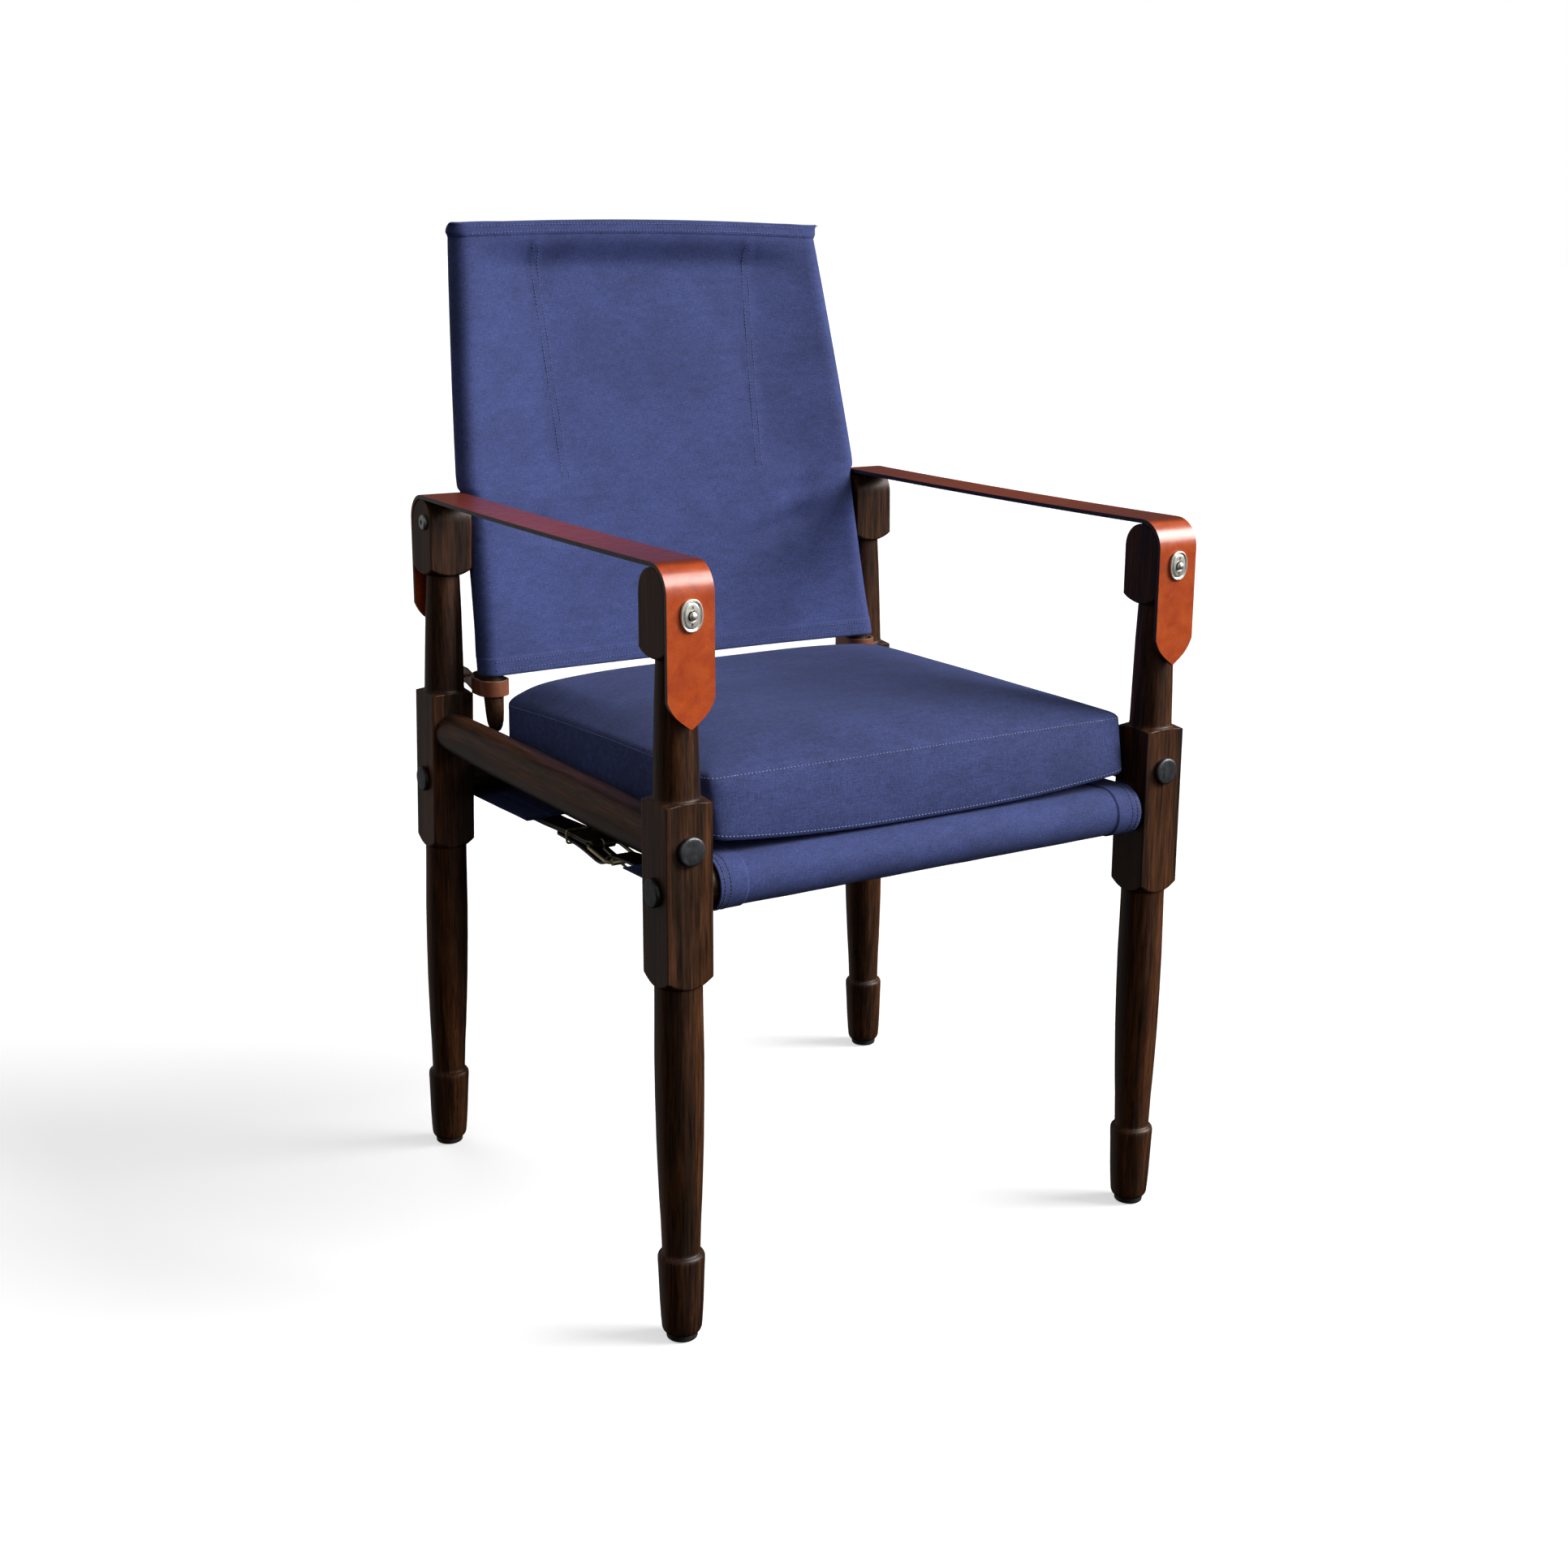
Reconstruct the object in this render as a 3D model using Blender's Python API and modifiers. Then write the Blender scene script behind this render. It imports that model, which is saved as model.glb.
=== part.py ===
"""Campaign dining armchair: walnut frame, canvas seat and back, leather arms, loose cushion.

Metres, +Z up. The floor is Z = 0 and the chair faces -Y. Left and right are as seen from in front.
"""

import math

import bmesh
import bpy
from mathutils import Matrix, Vector

# Driving dimensions
FRONT_Y = -0.2669  # front leg axis at the floor
LEG_DEPTH = 0.4899  # front leg axis to rear leg axis, at the floor
REAR_Y = FRONT_Y + LEG_DEPTH
FRONT_X, REAR_X = 0.2612, 0.2702  # leg axes at the floor, either side of the centre
FRONT_LEAN, REAR_SPLAY = 0.0109, 0.0229  # metres per metre of height
HALF_STOCK = 0.02225  # half of the square leg stock
GAP = 0.0004  # between pieces that touch

# Leg turning, heights along the leg's axis
LEG_SIDES = 16
HIDDEN_SIDES = 8  # bores and nuts inside the wood
BLOCK_TURN = 0.0325  # lathe radius that leaves the blocks square
HEAD_TOP, HEAD_FOOT = 0.690, 0.6245
BLOCK_TOP, BLOCK_FOOT = 0.4942, 0.343
ROUND_FALL = 0.0095  # height of the quarter-round under each block
ARCH_Z = HEAD_TOP - HALF_STOCK
FOOT_Z = 0.0066  # underside of the leg, just above its glide
UPPER_TURNING = [(0.0168, 0.612), (0.0180, 0.579), (0.0192, 0.534), (0.0203, 0.500)]
LOWER_TURNING = [
    (0.0207, 0.330), (0.0216, 0.280), (0.0214, 0.225), (0.0203, 0.170), (0.0184, 0.122), (0.0170, 0.086),
]
FERRULE = [(0.0204, 0.0812), (0.0210, 0.0765), (0.0200, 0.044), (0.0182, 0.0115), (0.0160, 0.0070)]

# Rails, bolts and barrel nuts
SIDE_RAIL_Z, FRONT_RAIL_Z, REAR_RAIL_Z = 0.4547, 0.4165, 0.405
RAIL_RADIUS, RAIL_END_RADIUS, TENON_RADIUS = 0.0210, 0.0198, 0.0125
TENON_LENGTH = 0.020
SHOULDER_GAP = 0.0008  # the rails' shoulders are square, and the leaning blocks' faces aren't quite
BOLT_RADIUS, BOLT_HEAD_RADIUS, BOLT_HEAD_THICK = 0.0030, 0.01275, 0.0045
BOLT_REACH = 0.046  # bolt tip past the leg's axis
NUT_REACH, NUT_RADIUS, NUT_LENGTH = 0.038, 0.0055, 0.018
GLIDE_RADIUS, GLIDE_STEM_RADIUS, GLIDE_STEM = 0.0140, 0.0028, 0.020

# Back: two posts on pivot bolts, joined by the canvas
PIVOT_X, PIVOT_Y, PIVOT_Z = 0.2150, FRONT_Y + 0.483, 0.668
POST_TAPER, RECLINE = 0.055, 0.218  # inward and rearward run per metre of height
POST_RADIUS, POST_SIDES = 0.0130, 16
POST_PROFILE = [
    (0.0, 0.2865), (0.0085, 0.286), (0.0120, 0.2805), (0.0130, 0.260), (0.0130, -0.060), (0.0120, -0.135),
    (0.0102, -0.176), (0.0092, -0.196), (0.0070, -0.209), (0.0030, -0.2145), (0.0, -0.2155),
]
SLEEVE_WALL, SLEEVE_GAP = 0.0017, 0.0004
SLEEVE_TOP, SLEEVE_FOOT = 0.2915, -0.1538  # along the posts, from the pivot
PANEL_THICK = 0.0030
PIVOT_HEAD_RADIUS, PIVOT_COLLAR_RADIUS = 0.0078, 0.0052

# Seat
SLING_HALF_WIDTH, CANVAS = 0.2327, 0.0020
SLING_RADIUS = RAIL_RADIUS + 0.0005 + CANVAS / 2  # middle of the canvas round a rail
SLING_SAG = 0.003
FRONT_FLAP_Y, REAR_FLAP_Y = FRONT_Y + 0.156, FRONT_Y + 0.357
CUSHION_HALF_WIDTH, CUSHION_FRONT, CUSHION_REAR = 0.2310, FRONT_Y - 0.002, FRONT_Y + 0.418
CUSHION_FOOT, CUSHION_TOP = 0.4415, 0.5130

# Arm straps and their fasteners
STRAP_THICK, STRAP_WIDTH = 0.0040, 0.0450
STRAP_TIP_Z, STRAP_POINT = 0.558, 0.028  # lowest point, and height of the pointed end
STUD_Z, STUD_HOLE = 0.6527, 0.0040
SOCKET_HALF_WIDTH, SOCKET_HALF_HEIGHT, SOCKET_THICK = 0.0105, 0.01375, 0.0026

# Stay loops, which stop the posts' lower ends
LOOP_Z, LOOP_HEIGHT, LOOP_THICK = 0.5038, 0.0154, 0.0030
LOOP_RADIUS, LOOP_TRAVEL, LOOP_TAB_END = 0.0130, 0.0178, FRONT_Y + 0.504
LOOP_TAB_INNER, LOOP_TAB_OUTER = 0.2308, 0.2358

# Cinch straps under the seat
CINCH_X = (-0.205, 0.0, 0.205)
CINCH_WIDTH, CINCH_LEATHER = 0.025, 0.0025
HEEL_Y, ROLLER_Y, ROLLER_Z = FRONT_Y + 0.249, FRONT_Y + 0.207, 0.3790
WIRE_RADIUS, BUCKLE_HALF_WIDTH, BUCKLE_CORNER = 0.0019, 0.0165, 0.005
PRONG_RADIUS, PRONG_HOLE_RADIUS, PRONG_OVERHANG = 0.0014, 0.0031, 0.0055
ROLLER_RADIUS = 0.0034
PRONG_SWING = math.radians(3.0)
CHAPE_THICK, CHAPE_END = 0.0045, FRONT_Y + 0.385
BILLET_ROUTE = [  # middle of the leather, from under the front flap to its tail: (Y from the front legs, Z)
    (0.118, 0.3884), (0.156, 0.3875), (0.188, 0.3862), (0.204, 0.3845), (0.2125, 0.3832), (0.2175, 0.3797),
    (0.2225, 0.3752), (0.2275, 0.3727), (0.237, 0.3719), (0.252, 0.3740), (0.275, 0.3771), (0.300, 0.3782),
    (0.335, 0.3785),
]
BILLET_HOLES = (0.266, 0.286)  # spare punched holes, Y from the front legs

WALNUT = ((0.052, 0.026, 0.018), 0.42, 0.0)
CANVAS_BLUE = ((0.030, 0.037, 0.120), 0.90, 0.0)
TAN_LEATHER = ((0.42, 0.085, 0.022), 0.38, 0.0)
OXBLOOD_LEATHER = ((0.045, 0.012, 0.010), 0.45, 0.0)
GUNMETAL = ((0.07, 0.07, 0.075), 0.40, 1.0)
ZINC = ((0.55, 0.55, 0.56), 0.40, 1.0)
NICKEL = ((0.72, 0.71, 0.66), 0.25, 1.0)
BRASS = ((0.72, 0.58, 0.30), 0.28, 1.0)
BLACK_NYLON = ((0.02, 0.018, 0.017), 0.60, 0.0)


def clear_scene():
    for obj in list(bpy.data.objects):
        bpy.data.objects.remove(obj, do_unlink=True)


def make_collection(name):
    collection = bpy.data.collections.new(name)
    bpy.context.scene.collection.children.link(collection)
    return collection


clear_scene()
CHAIR = make_collection("campaign_armchair")
CUTTERS = make_collection("cutters")


# Building blocks


def material_for(name, finish):
    colour, roughness, metallic = finish
    material = bpy.data.materials.new(name)
    material.use_nodes = True
    shader = material.node_tree.nodes["Principled BSDF"]
    shader.inputs["Base Color"].default_value = (*colour, 1.0)
    shader.inputs["Roughness"].default_value = roughness
    shader.inputs["Metallic"].default_value = metallic
    return material


def add_object(name, data, finish, place):
    """A part of the chair, or a cutter where finish is None."""
    obj = bpy.data.objects.new(name, data)
    obj.matrix_world = place
    if finish is None:
        CUTTERS.objects.link(obj)
        obj.hide_render = True
        obj.display_type = "WIRE"
    else:
        CHAIR.objects.link(obj)
        data.materials.append(material_for(name, finish))
    return obj


def shift(x, y, z):
    return Matrix.Translation((x, y, z))


def aimed(point, direction):
    """The placement that puts local Z along direction."""
    return shift(*point) @ Vector(direction).to_track_quat("Z", "Y").to_matrix().to_4x4()


def turned(name, profile, finish, place, sides=12):
    """A turning about local Z, from (radius, height) points listed top to bottom."""
    mesh = bpy.data.meshes.new(name)
    points = [(radius, 0.0, height) for radius, height in profile]
    mesh.from_pydata(points, [(i, i + 1) for i in range(len(points) - 1)], [])
    obj = add_object(name, mesh, finish, place)
    screw = obj.modifiers.new("turn", "SCREW")
    screw.steps = screw.render_steps = sides
    screw.use_merge_vertices = True
    screw.merge_threshold = 0.00001
    return obj


def rod(name, radius, foot, top, finish, place, sides=12):
    return turned(name, [(0.0, top), (radius, top), (radius, foot), (0.0, foot)], finish, place, sides)


def real_mesh(obj):
    """The curve object's shape as a closed mesh."""
    graph = bpy.context.evaluated_depsgraph_get()
    mesh = bpy.data.meshes.new_from_object(obj.evaluated_get(graph))
    work = bmesh.new()
    work.from_mesh(mesh)
    bmesh.ops.remove_doubles(work, verts=work.verts, dist=0.000001)
    work.to_mesh(mesh)
    work.free()
    return mesh


def mesh_from_curve(curve, name, finish, place):
    guide = bpy.data.objects.new(name + "_guide", curve)
    CHAIR.objects.link(guide)
    mesh = real_mesh(guide)
    bpy.data.objects.remove(guide, do_unlink=True)
    mesh.materials.clear()
    return add_object(name, mesh, finish, place)


def plate(name, outlines, thickness, finish, place):
    """A flat outline, with any holes, in local XY, as thick as stated along local Z."""
    curve = bpy.data.curves.new(name, "CURVE")
    curve.dimensions = "2D"
    curve.fill_mode = "BOTH"
    curve.extrude = thickness / 2
    for outline in outlines:
        spline = curve.splines.new("POLY")
        spline.points.add(len(outline) - 1)
        for point, (x, y) in zip(spline.points, outline):
            point.co = (x, y, 0.0, 1.0)
        spline.use_cyclic_u = True
    return mesh_from_curve(curve, name, finish, place)


def wire(name, points, radius, finish, place, closed=False):
    curve = bpy.data.curves.new(name, "CURVE")
    curve.dimensions = "3D"
    curve.bevel_depth = radius
    curve.bevel_resolution = 2
    curve.use_fill_caps = not closed
    spline = curve.splines.new("POLY")
    spline.points.add(len(points) - 1)
    for point, place_of in zip(spline.points, points):
        point.co = (*place_of, 1.0)
    spline.use_cyclic_u = closed
    return mesh_from_curve(curve, name, finish, place)


def ribbon(name, path, width, thickness, finish, place):
    """A strip whose middle follows path, (Y, Z) points, with its width along X."""
    work = bmesh.new()
    points = [work.verts.new((-width / 2, y, z)) for y, z in path]
    edges = [work.edges.new(pair) for pair in zip(points, points[1:])]
    swept = bmesh.ops.extrude_edge_only(work, edges=edges)["geom"]
    moved = [item for item in swept if isinstance(item, bmesh.types.BMVert)]
    bmesh.ops.translate(work, verts=moved, vec=(width, 0.0, 0.0))
    mesh = bpy.data.meshes.new(name)
    work.to_mesh(mesh)
    work.free()
    obj = add_object(name, mesh, finish, place)
    solidify = obj.modifiers.new("leather", "SOLIDIFY")
    solidify.thickness = thickness
    solidify.offset = 0.0
    solidify.use_even_offset = True
    return obj


def boolean(obj, other, operation="DIFFERENCE"):
    modifier = obj.modifiers.new(operation.lower(), "BOOLEAN")
    modifier.operation = operation
    modifier.object = other


def arc(centre, radius, start, end, steps):
    """Points from angle start to end, in degrees, counted from the first axis towards the second."""
    angles = [math.radians(start + (end - start) * i / steps) for i in range(steps + 1)]
    return [(centre[0] + radius * math.cos(a), centre[1] + radius * math.sin(a)) for a in angles]


def oval(half_width, half_height, steps):
    angles = [2 * math.pi * i / steps for i in range(steps)]
    return [(half_width * math.cos(a), half_height * math.sin(a)) for a in angles]


def smooth_route(points, steps):
    """A Catmull-Rom curve through the points, with so many steps to each stretch."""
    padded = [points[0], *points, points[-1]]
    route = []
    for before, start, end, after in zip(padded, padded[1:], padded[2:], padded[3:]):
        for i in range(steps):
            t = i / steps
            weights = (
                -t + 2 * t**2 - t**3, 2 - 5 * t**2 + 3 * t**3, t + 4 * t**2 - 3 * t**3, t**3 - t**2,
            )
            around = zip(before, start, end, after)
            route.append(tuple(sum(w * v for w, v in zip(weights, values)) / 2 for values in around))
    return [*route, points[-1]]


def side_view(x=0.0):
    """Local X and Y become the chair's Y and Z, and local Z its X."""
    return shift(x, 0.0, 0.0) @ Matrix(((0, 0, 1, 0), (1, 0, 0, 0), (0, 1, 0, 0), (0, 0, 0, 1)))


def side_name(side):
    return "right" if side > 0 else "left"


# Frame


def leg_point(end, side, z):
    """The leg's axis at height z."""
    if end == "front":
        return Vector((side * FRONT_X, FRONT_Y + FRONT_LEAN * z, z))
    return Vector((side * (REAR_X - REAR_SPLAY * z), REAR_Y, z))


def leg_place(end, side):
    tilt = ("X", -FRONT_LEAN) if end == "front" else ("Y", -side * REAR_SPLAY)
    return Matrix.Translation(leg_point(end, side, 0.0)) @ Matrix.Rotation(tilt[1], 4, tilt[0])


def quarter_round(block_foot, inner_radius):
    """The lathe's path round the foot of a square block."""
    reach = BLOCK_TURN - inner_radius
    angles = [math.radians(a) for a in (0, 35, 65, 90)]
    return [(inner_radius + reach * math.cos(a), block_foot - ROUND_FALL * math.sin(a)) for a in angles]


def leg_profile():
    return [
        (0.0, HEAD_TOP + 0.01), (BLOCK_TURN, HEAD_TOP + 0.01),
        *quarter_round(HEAD_FOOT, 0.0175), *UPPER_TURNING,
        (0.0222, 0.4972), (BLOCK_TURN, BLOCK_TOP),
        *quarter_round(BLOCK_FOOT, 0.0215), *LOWER_TURNING, *FERRULE, (0.0, FOOT_Z),
    ]


def square_bar(name, place):
    """The leg's square stock, arched over its top, as seen from the side."""
    outline = [(-HALF_STOCK, -0.01), (HALF_STOCK, -0.01), *arc((0.0, ARCH_Z), HALF_STOCK, 0, 180, 12)]
    return plate(name, [outline], 2 * HALF_STOCK, None, place @ side_view())


def rail_joint(name, start, direction, leg, rail):
    """Bolts rail to leg: start is the leg's axis, and direction points along the rail."""
    place = aimed(start, direction)
    shoulder = HALF_STOCK + SHOULDER_GAP
    mortise = turned(name + "_mortise", [
        (0.0, 0.06), (TENON_RADIUS + GAP, 0.06), (TENON_RADIUS + GAP, shoulder - TENON_LENGTH - GAP),
        (BOLT_RADIUS + GAP, shoulder - TENON_LENGTH - GAP), (BOLT_RADIUS + GAP, -0.06), (0.0, -0.06),
    ], None, place, LEG_SIDES)
    boolean(leg, mortise)
    bore = rod(name + "_bore", BOLT_RADIUS + 2 * GAP, 0.0, BOLT_REACH + 0.003, None, place, HIDDEN_SIDES)
    boolean(rail, bore)
    top = -HALF_STOCK - GAP
    turned(name.replace("joint", "bolt"), [
        (0.0, BOLT_REACH), (BOLT_RADIUS, BOLT_REACH), (BOLT_RADIUS, top), (BOLT_HEAD_RADIUS, top),
        (BOLT_HEAD_RADIUS, top - BOLT_HEAD_THICK + 0.001), (BOLT_HEAD_RADIUS - 0.001, top - BOLT_HEAD_THICK),
        (0.0, top - BOLT_HEAD_THICK),
    ], GUNMETAL, place)
    nut_centre = Vector(start) + NUT_REACH * Vector(direction)
    upright = Matrix.Translation(nut_centre)
    half = NUT_LENGTH / 2
    nut = rod(name.replace("joint", "nut"), NUT_RADIUS, -half, half, ZINC, upright, HIDDEN_SIDES)
    through = aimed(nut_centre, direction)
    boolean(nut, rod(name + "_thread", BOLT_RADIUS + 2 * GAP, -0.01, 0.01, None, through, HIDDEN_SIDES))
    pocket = rod(name + "_pocket", NUT_RADIUS + 2 * GAP, -0.03, half + GAP, None, upright, HIDDEN_SIDES)
    boolean(rail, pocket)


def make_rail(name, start, end):
    """A turned rail whose tenons enter the legs at start and end, points on the legs' axes."""
    half = (end - start).length / 2
    shoulder = half - HALF_STOCK - SHOULDER_GAP
    tenon_end = shoulder + TENON_LENGTH
    upper = [
        (0.0, tenon_end), (TENON_RADIUS - 0.001, tenon_end), (TENON_RADIUS, tenon_end - 0.0015),
        (TENON_RADIUS, shoulder), (RAIL_END_RADIUS - 0.001, shoulder), (RAIL_END_RADIUS, shoulder - 0.0015),
        (RAIL_RADIUS, shoulder * 0.55),
    ]
    lower = [(radius, -height) for radius, height in reversed(upper)]
    return turned(name, upper + lower, WALNUT, aimed((start + end) / 2, end - start), LEG_SIDES)


def make_glide(end, side, leg):
    name = f"{end}_{side_name(side)}"
    place = Matrix.Translation(leg_point(end, side, 0.0))
    turned("glide_" + name, [
        (0.0, GLIDE_STEM), (GLIDE_STEM_RADIUS, GLIDE_STEM), (GLIDE_STEM_RADIUS, 0.006), (GLIDE_RADIUS, 0.006),
        (GLIDE_RADIUS, 0.0015), (GLIDE_RADIUS - 0.0015, 0.0), (0.0, 0.0),
    ], BLACK_NYLON, place)
    bore, top = GLIDE_STEM_RADIUS + 0.0006, GLIDE_STEM + 0.001
    boolean(leg, rod(name + "_stem_hole", bore, -0.01, top, None, place, HIDDEN_SIDES))


def make_frame():
    legs = {}
    for end in ("front", "rear"):
        for side in (-1, 1):
            name = f"{end}_{side_name(side)}"
            place = leg_place(end, side)
            leg = turned("leg_" + name, leg_profile(), WALNUT, place, LEG_SIDES)
            boolean(leg, square_bar(name + "_stock", place), "INTERSECT")
            legs[end, side] = leg
            make_glide(end, side, leg)
    for side in (-1, 1):
        start, end = leg_point("front", side, SIDE_RAIL_Z), leg_point("rear", side, SIDE_RAIL_Z)
        along = (end - start).normalized()
        rail = make_rail("side_rail_" + side_name(side), start, end)
        rail_joint("side_joint_front_" + side_name(side), start, along, legs["front", side], rail)
        rail_joint("side_joint_rear_" + side_name(side), end, -along, legs["rear", side], rail)
    for end, height in (("front", FRONT_RAIL_Z), ("rear", REAR_RAIL_Z)):
        left, right = leg_point(end, -1, height), leg_point(end, 1, height)
        rail = make_rail("seat_rail_" + end, left, right)
        rail_joint(f"seat_joint_{end}_left", left, Vector((1, 0, 0)), legs[end, -1], rail)
        rail_joint(f"seat_joint_{end}_right", right, Vector((-1, 0, 0)), legs[end, 1], rail)
    return legs


# Back


def post_place(side):
    return aimed((side * PIVOT_X, PIVOT_Y, PIVOT_Z), (-side * POST_TAPER, RECLINE, 1.0))


def make_pivot(side, leg, post):
    """The bolt that a post swings on: its head outside the leg, a collar between leg and post."""
    name = side_name(side)
    outer = leg_point("rear", side, PIVOT_Z).x * side + HALF_STOCK
    inner = outer - 2 * HALF_STOCK
    place = aimed((0.0, PIVOT_Y, PIVOT_Z), (side, 0.0, 0.0))
    collar_end = PIVOT_X + POST_RADIUS + 0.0006
    top = outer + 0.0036
    turned("pivot_bolt_" + name, [
        (0.0, top), (PIVOT_HEAD_RADIUS - 0.0012, top), (PIVOT_HEAD_RADIUS, top - 0.0014),
        (PIVOT_HEAD_RADIUS, outer + GAP), (BOLT_RADIUS, outer + GAP), (BOLT_RADIUS, inner - 0.0006),
        (PIVOT_COLLAR_RADIUS, inner - 0.0006), (PIVOT_COLLAR_RADIUS, collar_end), (BOLT_RADIUS, collar_end),
        (BOLT_RADIUS, PIVOT_X - 0.008), (0.0, PIVOT_X - 0.008),
    ], ZINC, place)
    bore = BOLT_RADIUS + GAP
    boolean(leg, rod(name + "_pivot_leg_hole", bore, inner - 0.01, outer + 0.01, None, place))
    boolean(post, rod(name + "_pivot_post_hole", bore, PIVOT_X - 0.009, PIVOT_X + 0.02, None, place))


def make_posts(legs):
    for side in (-1, 1):
        post = turned("back_post_" + side_name(side), POST_PROFILE, WALNUT, post_place(side), POST_SIDES)
        make_pivot(side, legs["rear", side], post)


def back_outline():
    """The canvas panel between the posts' axes, wider at the foot, its top edge crowned."""
    slope = POST_TAPER / math.hypot(1.0, RECLINE)
    top, foot = PIVOT_X - slope * SLEEVE_TOP, PIVOT_X - slope * SLEEVE_FOOT
    angles = map(math.radians, (0, 30, 60, 90))
    crown = [(top * math.cos(a), SLEEVE_TOP + 0.004 * math.sin(a)) for a in angles]
    right = [(foot, SLEEVE_FOOT), *crown]
    return right + [(-x, z) for x, z in reversed(right[:-1])]


def make_back_canvas():
    """One sewn piece: a panel that joins two sleeves, each closed over the top of its post."""
    sleeve = POST_RADIUS + SLEEVE_GAP + SLEEVE_WALL
    middle = shift(0.0, PIVOT_Y, PIVOT_Z) @ Matrix.Rotation(-math.atan(RECLINE), 4, "X")
    upright = Matrix.Rotation(math.pi / 2, 4, "X")
    front = shift(0.0, -sleeve + PANEL_THICK / 2 + 0.0002, 0.0)
    canvas = plate("back_canvas", [back_outline()], PANEL_THICK, CANVAS_BLUE, middle @ front @ upright)
    for side in (-1, 1):
        name = side_name(side)
        place = post_place(side)
        tube = rod(name + "_sleeve", sleeve, SLEEVE_FOOT - 0.0008, SLEEVE_TOP + 0.0006, None, place, 20)
        boolean(canvas, tube, "UNION")
    for side in (-1, 1):
        name = side_name(side)
        bore, roof = sleeve - SLEEVE_WALL, POST_PROFILE[0][1] + GAP
        boolean(canvas, rod(name + "_sleeve_inside", bore, -0.25, roof, None, post_place(side), 20))
        across = aimed((0.0, PIVOT_Y, PIVOT_Z), (side, 0.0, 0.0))
        boolean(canvas, rod(name + "_sleeve_eyelet", 0.0068, PIVOT_X, PIVOT_X + 0.03, None, across))


def make_stay_loops():
    """Each loop rings a post's lower end, with room behind it for the post's swing, and a tab on the leg."""
    drop = LOOP_Z - PIVOT_Z
    x, y = PIVOT_X - POST_TAPER * drop, PIVOT_Y + RECLINE * drop
    rear = y + LOOP_TRAVEL
    outside = LOOP_RADIUS + LOOP_THICK
    tab = [math.degrees(math.acos((edge - x) / outside)) for edge in (LOOP_TAB_OUTER, LOOP_TAB_INNER)]
    outer = [
        *arc((x, y), outside, 180, 360, 10), *arc((x, rear), outside, 0, tab[0], 3),
        (LOOP_TAB_OUTER, LOOP_TAB_END), (LOOP_TAB_INNER, LOOP_TAB_END),
        *arc((x, rear), outside, tab[1], 180, 7),
    ]
    inner = [*arc((x, y), LOOP_RADIUS, 180, 360, 8), *arc((x, rear), LOOP_RADIUS, 0, 180, 8)]
    for side in (-1, 1):
        outlines = [[(side * px, py) for px, py in outline] for outline in (outer, inner)]
        plate("stay_loop_" + side_name(side), outlines, LOOP_HEIGHT, TAN_LEATHER, shift(0.0, 0.0, LOOP_Z))


# Seat


def lower_run_z(y):
    """Middle of the canvas on the sling's underside, straight between the rails."""
    front, rear = FRONT_RAIL_Z - SLING_RADIUS, REAR_RAIL_Z - SLING_RADIUS
    front_y = leg_point("front", 1, FRONT_RAIL_Z).y
    return front + (rear - front) * (y - front_y) / (REAR_Y - front_y)


def make_sling():
    front = (leg_point("front", 1, FRONT_RAIL_Z).y, FRONT_RAIL_Z)
    rear = (REAR_Y, REAR_RAIL_Z)
    top_run = []
    for i in range(1, 6):
        t = i / 6
        y, z = front[0] + t * (rear[0] - front[0]), front[1] + t * (rear[1] - front[1]) + SLING_RADIUS
        top_run.append((y, z - 4 * SLING_SAG * t * (1 - t)))
    path = [
        (FRONT_FLAP_Y, lower_run_z(FRONT_FLAP_Y)), *arc(front, SLING_RADIUS, 270, 90, 10), *top_run,
        *arc(rear, SLING_RADIUS, 90, -90, 10), (REAR_FLAP_Y, lower_run_z(REAR_FLAP_Y)),
    ]
    ribbon("seat_sling", path, 2 * SLING_HALF_WIDTH, CANVAS, CANVAS_BLUE, Matrix.Identity(4))


def make_cushion():
    """The loose box cushion, with its rear corners rounded to clear the stay loops."""
    corners = [
        (CUSHION_HALF_WIDTH, CUSHION_FRONT, 0.012, -90), (CUSHION_HALF_WIDTH, CUSHION_REAR, 0.032, 0),
        (-CUSHION_HALF_WIDTH, CUSHION_REAR, 0.032, 90), (-CUSHION_HALF_WIDTH, CUSHION_FRONT, 0.012, 180),
    ]
    outline = []
    for x, y, radius, start in corners:
        inward_y = radius if y == CUSHION_FRONT else -radius
        outline += arc((x - math.copysign(radius, x), y + inward_y), radius, start, start + 90, 4)
    place = shift(0.0, 0.0, (CUSHION_FOOT + CUSHION_TOP) / 2)
    cushion = plate("seat_cushion", [outline], CUSHION_TOP - CUSHION_FOOT, CANVAS_BLUE, place)
    bevel = cushion.modifiers.new("edges", "BEVEL")
    bevel.width = 0.006
    bevel.segments = 2
    bevel.limit_method = "ANGLE"
    bevel.angle_limit = math.radians(60)


# Arm straps


def strap_outline():
    """The strap from the side: down the front head, over both heads and down the rear head."""
    reach = HALF_STOCK + GAP
    front_y, rear_y = leg_point("front", 1, ARCH_Z).y, REAR_Y
    lean = FRONT_LEAN * (ARCH_Z - STRAP_TIP_Z + 0.01)
    foot = STRAP_TIP_Z - 0.01
    sides = []
    for radius in (reach, reach + STRAP_THICK):
        sides.append([
            (front_y - radius - lean, foot), *arc((front_y, ARCH_Z), radius, 180, 90, 8),
            *arc((rear_y, ARCH_Z), radius, 90, 0, 8), (rear_y + radius, foot),
        ])
    return sides[0] + sides[1][::-1]


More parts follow.
